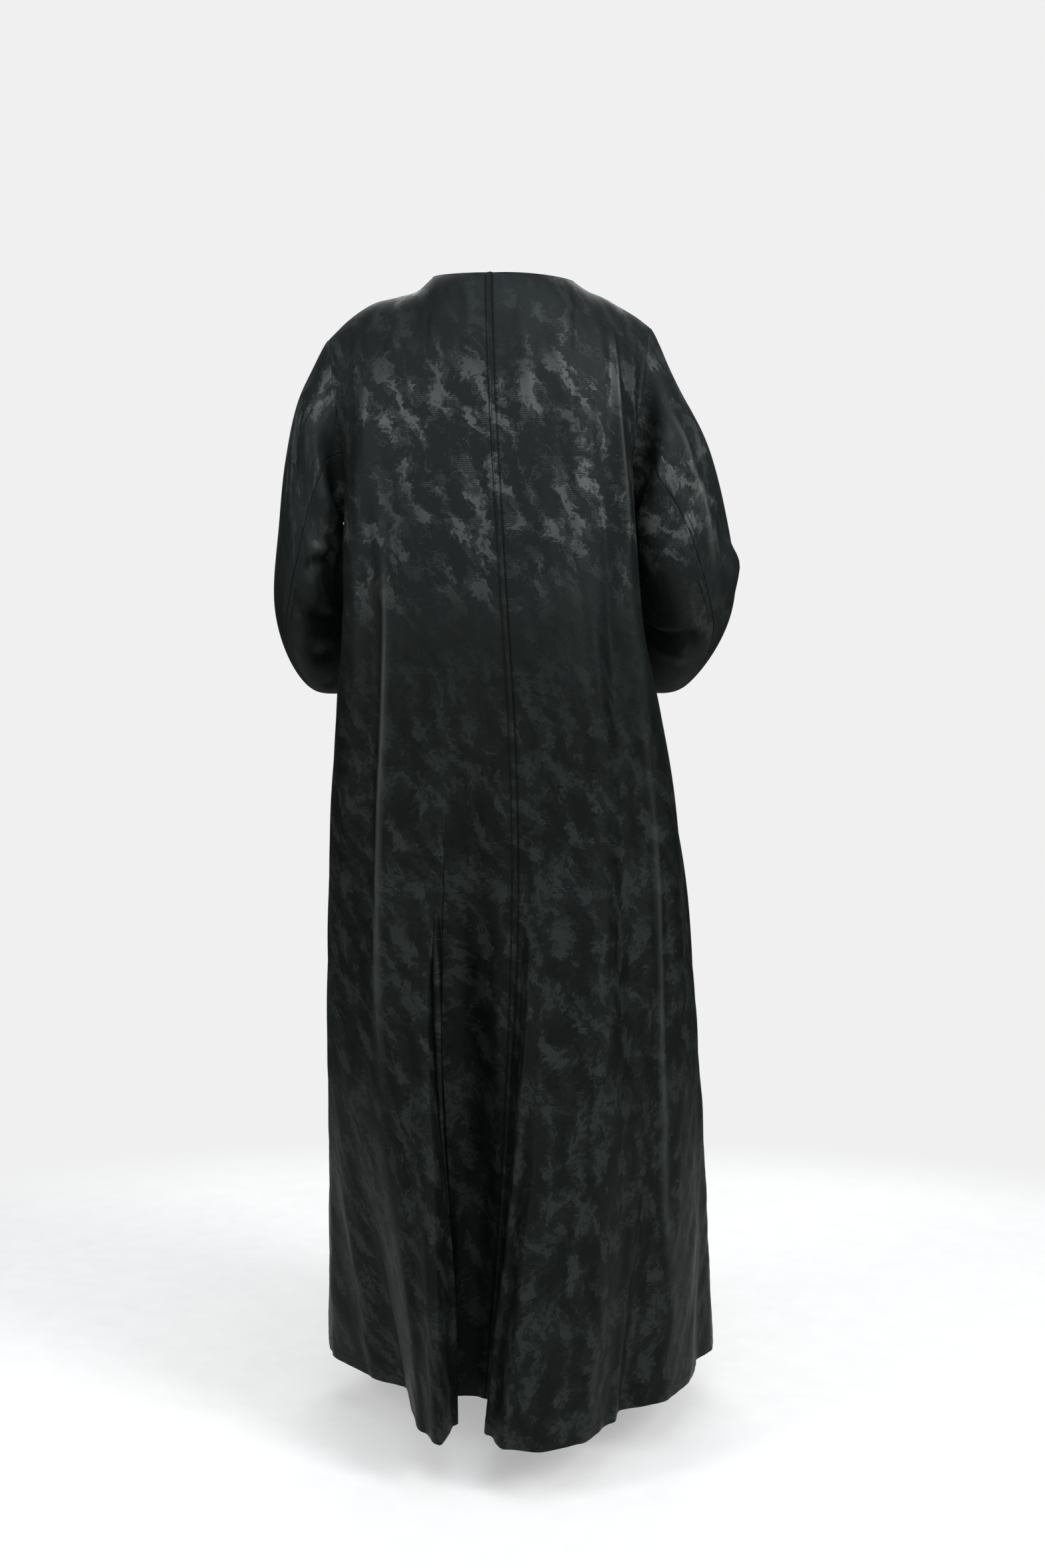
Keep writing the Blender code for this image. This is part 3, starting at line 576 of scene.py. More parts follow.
def yoke_column(side, place, share, front):
    """A column from the top edge over the shoulder or chest down to the underarm level."""
    start = top_point(side, share, front)
    end, below = (body_row(side, [place], z)[0] for z in (UNDERARM_Z, UNDERARM_Z - SLOPE_STEP))
    down = (end - below) / SLOPE_STEP
    out = -1.0 if front else 1.0
    near_arm = smooth((share - NEAR_ARM_FROM) / (1 - NEAR_ARM_FROM))
    reach = YOKE_REACH_MIDDLE + (YOKE_REACH_SIDE - YOKE_REACH_MIDDLE) * share
    sink = YOKE_SINK_MIDDLE - YOKE_SINK_EASE * smooth(2 * share) + YOKE_SINK_ARM * near_arm
    first = np.array([start[0] - ARMHOLE_INSET * side * near_arm, out * reach, start[2] - sink])
    if front:
        first[1] = min(first[1], start[1] - FRONT_NECK_STAND)
    rounding = np.clip((share - ROUNDING_FROM) / (1 - ROUNDING_FROM), 0, 1) ** ROUNDING_POWER
    lift = (start[2] - end[2]) * (LIFT_MIDDLE - LIFT_ARM_LESS * near_arm) * (1 - LIFT_ROUND_LESS * rounding)
    beside = place - out * UNDERARM_ROUND * rounding
    second = body_row(side, [beside], UNDERARM_Z)[0] + down * lift
    t = np.linspace(0, 1, YOKE_ROWS + 1)[:, None]
    return (1 - t) ** 3 * start + 3 * t * (1 - t) ** 2 * first + 3 * t**2 * (1 - t) * second + t**3 * end


def unit(vectors):
    return vectors / np.maximum(np.linalg.norm(vectors, axis=-1, keepdims=True), 1e-9)


def grid_normals(points, inside):
    """Unit normals of a grid of points, pointing away from inside on the whole."""
    along = np.gradient(points, axis=1)
    down = np.gradient(points, axis=0)
    normal = unit(np.cross(along, down))
    if ((points - inside) * normal)[..., :2].sum() < 0:
        normal = -normal
    return normal


def body_middle(points):
    return np.array([0.0, 0.0, points[..., 2].mean()])


def sleeve_ring(side, row, turns):
    """Points of one sleeve ring; turns run from the outer side by the back (or under) side."""
    lift, pitch, yaw = (math.radians(v) for v in (row.lift, row.pitch, row.yaw))
    ahead = np.array([-math.sin(yaw), -math.cos(yaw), 0.0])
    fall = np.array([0.0, 0.0, -1.0])
    along = math.cos(pitch) * fall + math.sin(pitch) * ahead
    back = -math.cos(pitch) * ahead + math.sin(pitch) * fall
    outer = np.array([math.cos(yaw), -math.sin(yaw), 0.0])
    outer = math.cos(lift) * outer - math.sin(lift) * along
    x, wide = (row.left_x, row.left_wide) if side > 0 else (-row.right_x, row.right_wide)
    angle = 2 * math.pi * turns[:, None] - math.radians(row.twist)
    ring = np.array([x, row.y, row.z]) + wide * np.cos(angle) * outer + row.deep * np.sin(angle) * back
    ring[:, 0] *= side
    return ring


def skirt_heights():
    share = np.linspace(0, 1, SKIRT_ROWS + 1)[1:]
    return UNDERARM_Z + (HEM_Z - UNDERARM_Z) * share


def fine_places(knots, width):
    """Column places through the knots, no further apart than width."""
    runs = []
    for a, b in zip(knots, knots[1:]):
        steps = math.ceil((b - a) * HALF_GIRTH / width)
        runs.append(np.linspace(a, b, steps + 1)[:-1])
    return np.concatenate(runs + [[knots[-1]]])


def panel_points(side, places, front):
    """Outer points of a body panel at the given places, from the top edge down to the hem."""
    seam_place = side_seam_place(side)
    shares = (1 - places) / (1 - seam_place) if front else places / seam_place
    yoke = np.stack([yoke_column(side, p, s, front) for p, s in zip(places, shares)], axis=1)
    skirt = np.stack([body_row(side, places, z) for z in skirt_heights()])
    points = np.concatenate([yoke, skirt])
    eased = points.copy()
    for _ in range(JOIN_PASSES):
        eased[1:-1] = (eased[:-2] + 2 * eased[1:-1] + eased[2:]) / 4
    share = smooth(1 - np.abs(np.arange(len(points)) - YOKE_ROWS) / JOIN_ROWS)[:, None, None]
    share = share * smooth(np.abs(places - seam_place) / JOIN_FROM_SIDE)[None, :, None]
    points += share * (eased - points)
    raised = soft_fold_height(side, places[None, :], points[:, :, 2])
    return points + raised[:, :, None] * grid_normals(points, body_middle(points))


def crease_gaps(creases, side, across, down, scale):
    """Each crease of a side with every point's distance from it and its fade towards its ends."""
    here = np.stack(np.broadcast_arrays(across * scale, down), axis=-1)
    for crease in creases:
        if crease.side != side:
            continue
        path = np.array(crease.path) * np.array([scale, 1.0])
        line = through(np.linspace(0, 1, CREASE_STEPS), np.linspace(0, 1, len(path)), path)
        best = np.full(here.shape[:-1], np.inf)
        share = np.zeros(best.shape)
        for k in range(len(line) - 1):
            step = line[k + 1] - line[k]
            t = np.clip(((here - line[k]) @ step) / (step @ step), 0, 1)
            gap = np.linalg.norm(here - line[k] - t[..., None] * step, axis=-1)
            nearer = gap < best
            best = np.where(nearer, gap, best)
            share = np.where(nearer, (k + t) / (len(line) - 1), share)
        yield crease, best, smooth(share / CREASE_FADE) * smooth((1 - share) / CREASE_FADE)


def crease_height(creases, side, across, down, scale):
    """How far the creases raise the cloth at each point, and how much painted highlight lies on its crease
    tops, from 0 to 1.

    scale makes both ways of a path metres.
    """
    raised = np.zeros(np.broadcast(across, down).shape)
    crest = np.zeros(raised.shape)
    for crease, gap, fade in crease_gaps(creases, side, across, down, scale):
        raised += crease.height * fade * np.exp(-((gap / crease.half_width) ** 2))
        # painted highlight along the crease top
        crest = np.maximum(crest, crease.crest * fade * np.exp(-((gap / CREST_HIGHLIGHT_HALF) ** 2)))
    return raised, crest


def cloth_map(points, anchor, sign, from_row):
    """The cloth's own measure at each point: metres across from the anchor column, and down from a row."""
    across = np.linalg.norm(np.diff(points, axis=1), axis=2).cumsum(axis=1)
    across = np.concatenate([np.zeros((len(points), 1)), across], axis=1)
    down = np.linalg.norm(np.diff(points, axis=0), axis=2).cumsum(axis=0)
    down = np.concatenate([np.zeros((1, points.shape[1])), down])
    across = sign * (across - across[:, anchor][:, None])
    return np.stack([across, down - down[from_row]], axis=-1)


def unrest(cloth):
    """The height of the ripples at each point of the cloth's own measure."""
    raised = np.zeros(cloth.shape[:2])
    for ripple in RIPPLES:
        waves = cloth[..., 0] / ripple.across + cloth[..., 1] / ripple.down
        raised += ripple.height * np.sin(2 * math.pi * waves + ripple.phase)
    return raised


def turned_edge(points, cloth, normals, axis, end, turning):
    """The grid with one edge drawn in by its roll, rolled over inwards and followed by its turning.

    A turning below 0 reaches out under the neighbour instead of back under its own piece.
    """
    grids = [np.moveaxis(g, axis, 0) for g in (points, cloth, normals)]
    if end < 0:
        grids = [g[::-1] for g in grids]
    places, measure, facing = (g.copy() for g in grids)
    out = places[0] - places[1]
    out = unit(out - (out * facing[0]).sum(axis=-1, keepdims=True) * facing[0])
    measure_out = unit(measure[0] - measure[1])
    places[0] -= out * (ROLL + SEAM_GAP / 2)
    depth = 2 * ROLL + (UNDERLAP_DEPTH if turning < 0 else 0.0)
    rows = [places[0] - depth * facing[0] - turning * out]
    rows_measure = [measure[0] + measure_out * abs(turning)]
    for angle in np.radians([180, 135, 90, 45]):
        rolled = ROLL * (math.sin(angle) * out - (1 - math.cos(angle)) * facing[0])
        rows.append(places[0] + rolled)
        rows_measure.append(measure[0] + measure_out * ROLL * angle)
    places = np.concatenate([np.stack(rows), places])
    measure = np.concatenate([np.stack(rows_measure), measure])
    facing = np.concatenate([np.repeat(facing[:1], len(rows), axis=0), facing])
    grids = [places, measure, facing]
    if end < 0:
        grids = [g[::-1] for g in grids]
    return [np.moveaxis(g, 0, axis) for g in grids]


def add_object(name, data):
    """Puts a new object with this data in the scene."""
    made = bpy.data.objects.new(name, data)
    bpy.context.scene.collection.objects.link(made)
    return made


def cloth_piece(name, points, cloth, normals, crest, turnings):
    """One sewn piece of cloth as a thin shell; turnings are (axis, end, width) of its turned edges."""
    pads = [[0, 0], [0, 0]]
    for axis, end, width in turnings:
        points, cloth, normals = turned_edge(points, cloth, normals, axis, end, width)
        pads[axis][-end] = TURNED_ROWS
    crest = np.pad(crest, pads, mode="edge")
    rows, columns = points.shape[:2]
    maker = bmesh.new()
    bmesh.ops.create_grid(maker, x_segments=columns - 1, y_segments=rows - 1, size=1)
    # share of the painted crest highlight at each corner
    crest_highlight_layer = maker.verts.layers.float.new("crest")
    made = list(maker.verts)
    for vert, place, share in zip(made, points.reshape(-1, 3), crest.reshape(-1)):
        vert.co = place
        vert[crest_highlight_layer] = share
    maker.verts.index_update()
    maker.normal_update()
    middle = made[(rows // 2) * columns + columns // 2]
    if middle.normal.dot(Vector(normals[rows // 2, columns // 2])) < 0:
        bmesh.ops.reverse_faces(maker, faces=maker.faces)
    across = maker.loops.layers.uv.new("cloth")
    flat = cloth.reshape(-1, 2)
    for face in maker.faces:
        face.smooth = True
        for loop in face.loops:
            loop[across].uv = flat[loop.vert.index]
    for edge in maker.edges:
        edge.smooth = not edge.is_boundary
    mesh = bpy.data.meshes.new(name)
    maker.to_mesh(mesh)
    maker.free()
    piece = add_object(name, mesh)
    wall = piece.modifiers.new("cloth thickness", "SOLIDIFY")
    wall.thickness = CLOTH_THICKNESS
    wall.offset = -1.0
    wall.use_quality_normals = True
    return piece


def seam_calm(side, places, rows):
    """0 at the side and shoulder seams, so that both pieces meet there, and 1 away from them."""
    from_side = smooth(np.abs(places - side_seam_place(side)) / SIDE_SEAM_CALM)
    return from_side * smooth(np.arange(rows) / CALM_ROWS)[:, None]


def back_half(side):
    """A back half's places, points, cloth measure, normals and painted crest highlights; the left one has the
    felled edge.
    """
    knots = [row.place for row in folds_of(side) if row.place <= side_seam_place(side)]
    places = fine_places(knots, BACK_COLUMN_WIDTH)
    if side > 0:
        fell = np.array(FELL_PLACES) / HALF_GIRTH
        places = np.concatenate([[0.0], fell, places[places > fell[-1] + FELL_CLEAR]])
    points = panel_points(side, places, front=False)
    if side < 0:
        under = np.linspace(FELL_WIDTH, UNDERLAP_NEAREST, UNDERLAP_COLUMNS) / HALF_GIRTH
        points = np.concatenate([panel_points(1, under, front=False), points], axis=1)
        places = np.concatenate([-under, places])
    cloth = cloth_map(points, int(np.argmin(np.abs(places))), -side, YOKE_ROWS)
    normals = grid_normals(points, body_middle(points))
    raised, crest = crease_height(BODY_CREASES, side, places[None, :], points[:, :, 2], HALF_GIRTH)
    raised = (raised + unrest(cloth)) * smooth(places / CREASE_CALM)
    raised = raised * seam_calm(side, places, len(points))
    from_seam = np.abs(places) * HALF_GIRTH
    for pucker in PUCKERS:
        wave = pucker.share * np.sin(2 * math.pi * cloth[..., 1] / pucker.pitch + pucker.phase)
        raised += PUCKER_HEIGHT * wave * np.exp(-np.abs(from_seam - FELL_WIDTH * (side > 0)) / PUCKER_REACH)
    if side > 0:
        raised += FELL_RISE * smooth((FELL_WIDTH + FELL_STEP - from_seam) / FELL_STEP)
        for stitch in FELL_STITCHES:
            raised -= FELL_GROOVE * np.exp(-(((from_seam - stitch) / FELL_GROOVE_HALF) ** 2))
    else:
        raised = np.where(places < 0, -UNDERLAP_DEPTH, raised)
    return places, points + raised[..., None] * normals, cloth, normals, crest


def front_half(side):
    """A front half's places, points, cloth measure, normals and painted crest highlights; the right one laps
    over the left.
    """
    knots = [row.place for row in folds_of(side) if row.place >= side_seam_place(side)]
    places = fine_places(knots, COLUMN_WIDTH)
    points = panel_points(side, places, front=True)
    lifted = np.zeros(len(places))
    if side < 0:
        rise_from, full_from = 1 - LAP_EASE / HALF_GIRTH, 1 - LAP_HOLD / HALF_GIRTH
        lifted = LAP_RISE * smooth((places - rise_from) / (full_from - rise_from))
        lap_places = 1 - np.linspace(0, FRONT_LAP / HALF_GIRTH, LAP_COLUMNS + 1)[1:]
        points = np.concatenate([points, panel_points(1, lap_places, front=True)], axis=1)
        lifted = np.concatenate([lifted, np.full(len(lap_places), LAP_RISE)])
        places = np.concatenate([places, 2 - lap_places])
    centre = int(np.argmin(np.abs(places - 1)))
    cloth = cloth_map(points, centre, -side, YOKE_ROWS)
    normals = grid_normals(points, body_middle(points))
    raised, crest = crease_height(BODY_CREASES, side, places[None, :], points[:, :, 2], HALF_GIRTH)
    raised = (raised + unrest(cloth)) * smooth((1 - places) / CREASE_CALM)
    raised = raised * seam_calm(side, places, len(points)) + lifted
    return places, points + raised[..., None] * normals, cloth, normals, crest


def sleeve_grid(side, armhole):
    """A sleeve's points, normals and painted crest highlights: rows from under the armhole to the cuff,
    columns right round.
    """
    turns = np.linspace(0, 1, len(armhole))
    height = armhole[:, 2]
    low = smooth((height.max() - height) / (height.max() - height.min()))
    out = STAND_OFF_TOP + (STAND_OFF_OUT - STAND_OFF_TOP) * low
    moved = [side * out, np.zeros_like(out), np.full_like(out, -STAND_OFF_DOWN)]
    stand_off = armhole + np.stack(moved, axis=-1)
    rings = np.stack([armhole, stand_off] + [sleeve_ring(side, row, turns) for row in RINGS])
    centres = rings[:, :-1].mean(axis=1)
    run = np.concatenate([[0.0], np.cumsum(np.linalg.norm(np.diff(centres, axis=0), axis=1))])
    at = np.concatenate([[0.0, run[1] / 2], np.linspace(run[1], run[-1], SLEEVE_ROWS)])
    points = through(at, run, rings)
    wrapped = np.concatenate([points[:, -2:-1], points, points[:, 1:2]], axis=1)
    normals = grid_normals(wrapped, points.mean(axis=(0, 1)))[:, 1:-1]
    raised, crest = crease_height(SLEEVE_CREASES, side, turns[None, :], at[:, None], SLEEVE_GIRTH)
    points = points + raised[..., None] * normals
    back_in = unit(points[0] - points[2])
    points[0] -= ARMHOLE_UNDER * normals[0]
    under = points[0] + ARMHOLE_LAP * back_in - ARMHOLE_UNDER * normals[0]
    starts = (under[None], normals[:1], crest[:1])
    return [np.concatenate([start, rest]) for start, rest in zip(starts, (points, normals, crest))]


def armhole_loop(back, front):
    """The armhole from the shoulder tip down the back edge and up the front edge."""
    return np.concatenate([back[: YOKE_ROWS + 1, -1], front[: YOKE_ROWS + 1, 0][::-1][1:]])


def sleeve_pieces(side, word, armhole, material):
    """Makes a sleeve's upper and under pieces, and gives back each one's points and the way they face."""
    grids = sleeve_grid(side, armhole)
    turns = grids[0].shape[1] - 1
    first, last = round(turns * BACK_SLEEVE_SEAM), round(turns * FRONT_SLEEVE_SEAM)
    under = [grid[:, first : last + 1] for grid in grids]
    upper = [np.concatenate([grid[:, last:], grid[:, 1 : first + 1]], axis=1) for grid in grids]
    turnings = ((0, -1, CUFF_TURNING), (1, 0, SEAM_TURNING), (1, -1, SEAM_TURNING))
    kinds = (("under", under, (last - first) // 2), ("upper", upper, turns - last))
    made = []
    for kind, (points, facing, crest), anchor in kinds:
        node = "sleeve_%s_%s" % (word, kind)
        cloth = cloth_map(points, anchor, side, 0)
        piece = cloth_piece(node + "_cloth", points, cloth, facing, crest, turnings)
        dress(piece, node, material)
        made.append((points, facing))
    return made


def dress(piece, node, material):
    """The piece takes the cloth, rides on the cloak and stands for its node."""
    piece.data.materials.append(material)
    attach(piece, "root")
    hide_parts(node)


def along_line(line, length, at):
    return Vector([float(np.interp(at, length, line[:, k])) for k in range(3)])


def one_stitch():
    """The corners and faces of one stitch of thread, lying along its own z."""
    maker = bmesh.new()
    size = Matrix.Diagonal((THREAD_RADIUS, THREAD_RADIUS, STITCH_LENGTH / 2, 1.0))
    bmesh.ops.create_uvsphere(maker, u_segments=6, v_segments=5, radius=1, matrix=size)
    maker.verts.index_update()
    corners = [vert.co.copy() for vert in maker.verts]
    faces = [[vert.index for vert in face.verts] for face in maker.faces]
    maker.free()
    return corners, faces


def stitches(name, lines, thread):
    """Runs of stitches along lines; a line is its points and the way its cloth faces."""
    stitch, stitch_faces = one_stitch()
    corners, faces = [], []
    for line, facing in lines:
        length = np.concatenate([[0.0], np.cumsum(np.linalg.norm(np.diff(line, axis=0), axis=1))])
        for start in np.arange(STITCH_PITCH / 2, length[-1] - STITCH_LENGTH, STITCH_PITCH):
            a, b = along_line(line, length, start), along_line(line, length, start + STITCH_LENGTH)
            up = along_line(facing, length, start).normalized()
            along = (b - a).normalized()
            across = up.cross(along).normalized()
            up = along.cross(across)
            turn = Matrix((across, up, along)).transposed().to_4x4()
            place = Matrix.Translation((a + b) / 2 + up * THREAD_RADIUS * THREAD_STANDS) @ turn
            faces += [[len(corners) + k for k in face] for face in stitch_faces]
            corners += [place @ corner for corner in stitch]
    mesh = bpy.data.meshes.new(name)
    mesh.from_pydata(corners, [], faces)
    mesh.shade_smooth()
    run = add_object(name, mesh)
    run.data.materials.append(thread)
    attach(run, "root")


def new_material(name):
    """A new material, its nodes and its shader."""
    material = bpy.data.materials.new(name)
    material.use_nodes = True
    return material, material.node_tree, material.node_tree.nodes["Principled BSDF"]


def feed(tree, slot_in, value):
    """Links a socket to an input, or sets the input to a number, a colour or a vector."""
    if isinstance(value, bpy.types.NodeSocket):
        tree.links.new(value, slot_in)
    else:
        slot_in.default_value = value


def sum_of(tree, operation, *values):
    """The result of a Math node of the given operation on sockets or numbers."""
    node = tree.nodes.new("ShaderNodeMath")
    node.operation = operation
    for slot_in, value in zip(node.inputs, values):
        feed(tree, slot_in, value)
    return node.outputs[0]


def vector_sum(tree, operation, *values):
    """The node of a vector operation on sockets or vectors."""
    node = tree.nodes.new("ShaderNodeVectorMath")
    node.operation = operation
    for slot_in, value in zip(node.inputs, values):
        feed(tree, slot_in, value)
    return node


def rising(tree, value, low, high):
    """0 below low and 1 above high, eased between them."""
    node = tree.nodes.new("ShaderNodeMapRange")
    node.interpolation_type = "SMOOTHSTEP"
    node.inputs["From Min"].default_value = low
    node.inputs["From Max"].default_value = high
    tree.links.new(value, node.inputs["Value"])
    return node.outputs["Result"]


def falling(tree, value, low, high):
    """1 below low and 0 above high, eased between them."""
    return sum_of(tree, "SUBTRACT", 1.0, rising(tree, value, low, high))


def mixed(tree, share, first, second):
    """The mix of two colours, each a socket or a colour, by share."""
    node = tree.nodes.new("ShaderNodeMix")
    node.data_type = "RGBA"
    tree.links.new(share, node.inputs["Factor"])
    feed(tree, node.inputs[6], first)
    feed(tree, node.inputs[7], second)
    return node.outputs[2]


def parts_of(tree, vector):
    """The X, Y and Z of a vector."""
    node = tree.nodes.new("ShaderNodeSeparateXYZ")
    tree.links.new(vector, node.inputs[0])
    return node.outputs


def noise(tree, place, scale, detail, roughness=0.5, dimensions="3D"):
    node = tree.nodes.new("ShaderNodeTexNoise")
    node.noise_dimensions = dimensions
    feed(tree, node.inputs["Vector"], place)
    feed(tree, node.inputs["Scale"], scale)
    node.inputs["Detail"].default_value = detail
    node.inputs["Roughness"].default_value = roughness
    return node


def shaken(tree, cloth, size, reach, detail=3.0):
    """The cloth's measure, shaken by noise of this many patches a metre, by up to this far either way."""
    patches = noise(tree, cloth, size, detail, SHAKE_ROUGHNESS, "2D")
    centred = vector_sum(tree, "SUBTRACT", patches.outputs["Color"], (0.5, 0.5, 0.5))
    return vector_sum(tree, "MULTIPLY_ADD", centred.outputs[0], (2 * reach, 2 * reach, 0.0), cloth).outputs[0]


def new_group(name, inputs, outputs):
    """A node group that reads the cloth's measure, with its numbers and their values, and its outputs."""
    group = bpy.data.node_groups.new(name, "ShaderNodeTree")
    group.interface.new_socket("Cloth", in_out="INPUT", socket_type="NodeSocketVector")
    for word, value in inputs:
        made = group.interface.new_socket(word, in_out="INPUT", socket_type="NodeSocketFloat")
        made.default_value = value
    for word in outputs:
        group.interface.new_socket(word, in_out="OUTPUT", socket_type="NodeSocketFloat")
    return group, group.nodes.new("NodeGroupInput").outputs, group.nodes.new("NodeGroupOutput").inputs


def woven_figure_group():
    """The torn cloud figure, repeated in both ways of the cloth, in layers from the far ground, which takes
    painted sheen low down, to full figure.

    The repeat is 4D noise read on two rings: one turn of the first is the repeat across, which leans by one
    repeat for each repeat down, and one turn of the second is the repeat down.
    """
    numbers = (("Repeat Across", REPEAT_ACROSS), ("Repeat Down", REPEAT_DOWN), ("Weft Pitch", WEFT_PITCH))
    layers = ("Figure", "Bright Figure", "Half Tone", "Light Ground", "Weft")
    group, start, end = new_group("woven figure", numbers, layers)
    torn_place = shaken(group, start["Cloth"], SWAY_SIZE, SWAY_REACH, SWAY_DETAIL)
    torn_place = shaken(group, torn_place, TORN_SIZE, TORN_REACH)
    torn_place = shaken(group, torn_place, FRAY_SIZE, FRAY_REACH)
    across, down = parts_of(group, torn_place)[:2]
    turns_down = sum_of(group, "DIVIDE", down, start["Repeat Down"])
    turns_across = sum_of(group, "DIVIDE", across, start["Repeat Across"])
    around = sum_of(group, "MULTIPLY", sum_of(group, "SUBTRACT", turns_across, turns_down), 2 * math.pi)
    along = sum_of(group, "MULTIPLY", turns_down, 2 * math.pi)
    spots = []
    for angle, radius in ((around, RING_ACROSS), (along, RING_DOWN)):
        for wave in ("COSINE", "SINE"):
            middle = RING_PLACE[len(spots)]
            spots.append(sum_of(group, "MULTIPLY_ADD", sum_of(group, wave, angle), radius, middle))
    place = group.nodes.new("ShaderNodeCombineXYZ")
    for spot, slot_in in zip(spots, place.inputs):
        group.links.new(spot, slot_in)
    tones = []
    for cloud in CLOUDS:
        tone = noise(group, place.outputs[0], cloud.scale, cloud.detail, cloud.roughness, "4D")
        group.links.new(spots[3], tone.inputs["W"])
        tones.append(tone.outputs["Fac"])
    fine = sum_of(group, "SUBTRACT", tones[1], 0.5)
    torn = sum_of(group, "MULTIPLY_ADD", fine, FINE_CLOUD_SHARE, tones[0])
    waves = sum_of(group, "DIVIDE", parts_of(group, start["Cloth"])[1], start["Weft Pitch"])
    weft = sum_of(group, "SINE", sum_of(group, "MULTIPLY", waves, 2 * math.pi))
    made = {
        "Figure": rising(group, torn, *FIGURE_EDGE),
        "Bright Figure": rising(group, torn, *SHEEN_FIGURE_EDGE),
        "Half Tone": rising(group, torn, *HALF_TONE_EDGE),
        "Light Ground": falling(group, torn, *SHEEN_GROUND_EDGE),
        "Weft": sum_of(group, "MULTIPLY_ADD", weft, 0.5, 0.5),
    }
    for name, value in made.items():
        group.links.new(value, end[name])
    return group


def yarn_grain_group():
    """Fine twill grain of the yarns, for the cloth's bump, with its size in lines a metre."""
    group, start, end = new_group("yarn grain", [("Lines", GRAIN_LINES)], ["Grain"])
    across, down = parts_of(group, start["Cloth"])[:2]
    slant = sum_of(group, "MULTIPLY_ADD", across, GRAIN_SLANT, down)
    turns = sum_of(group, "MULTIPLY", slant, sum_of(group, "MULTIPLY", start["Lines"], math.pi))
    specks = noise(group, start["Cloth"], start["Lines"], 2.0)
    lines = sum_of(group, "SINE", turns)
    grain = sum_of(group, "MULTIPLY_ADD", lines, GRAIN_LINE_SHARE, specks.outputs["Fac"])
    group.links.new(grain, end["Grain"])
    return group


def placed_group(tree, group, cloth):
    node = tree.nodes.new("ShaderNodeGroup")
    node.node_tree = group
    tree.links.new(cloth, node.inputs["Cloth"])
    return node


def painted_sheen_tones(tree, figure, place):
    """The cloth's colour with painted sheen and painted shade by height: a figure painted bright on a matt
    ground above, which turns to a figure painted dark on a ground painted lighter below, the ground also
    painted darker towards the bottom.
    """
    above = parts_of(tree, place)[2]
    drift = noise(tree, place, PATCH_SIZE, 1.0).outputs["Fac"]
    height = sum_of(tree, "MULTIPLY_ADD", sum_of(tree, "SUBTRACT", drift, 0.5), DRIFT_REACH, above)
    # painted sheen: the bright figure comes and goes in broad patches
    patch = sum_of(tree, "MULTIPLY_ADD", rising(tree, drift, *PATCH_EDGE), 1 - PATCH_LEAST, PATCH_LEAST)
    weft = sum_of(tree, "MULTIPLY_ADD", figure["Weft"], WEFT_SHARE, WEFT_LEAST)
    striped = sum_of(tree, "MULTIPLY", figure["Half Tone"], weft)
    top_tone = sum_of(tree, "MAXIMUM", striped, figure["Bright Figure"])
    top_tone = sum_of(tree, "MULTIPLY", top_tone, patch)
    top_tone = sum_of(tree, "MULTIPLY", top_tone, rising(tree, height, *BRIGHT_Z))
    # the painted sheen fades out over the shoulders
    quiet = sum_of(tree, "MULTIPLY_ADD", rising(tree, height, *QUIET_Z), -QUIET_SHARE, 1.0)
    top_tone = sum_of(tree, "MULTIPLY", top_tone, quiet)
    # painted shade and painted sheen low down: the figure darker, the far ground lighter
    dark = falling(tree, height, *DARK_Z)
    low_tone = sum_of(tree, "MULTIPLY", figure["Figure"], LOW_FIGURE_SHARE)
    low_tone = sum_of(tree, "MULTIPLY_ADD", figure["Half Tone"], 1 - LOW_FIGURE_SHARE, low_tone)
    low_tone = sum_of(tree, "MULTIPLY", low_tone, dark)
    ground_sheen = sum_of(tree, "MULTIPLY", dark, GROUND_SHEEN_SHARE)
    ground_sheen = sum_of(tree, "MULTIPLY", figure["Light Ground"], ground_sheen)
    # painted shade: the ground darker towards the bottom
    ground = mixed(tree, falling(tree, above, *LOW_GROUND_Z), GROUND, LOW_GROUND_PAINTED_SHADE)
    lit = mixed(tree, ground_sheen, mixed(tree, top_tone, ground, FIGURE_PAINTED_SHEEN), GROUND_PAINTED_SHEEN)
    return mixed(tree, low_tone, lit, FIGURE_PAINTED_SHADE)


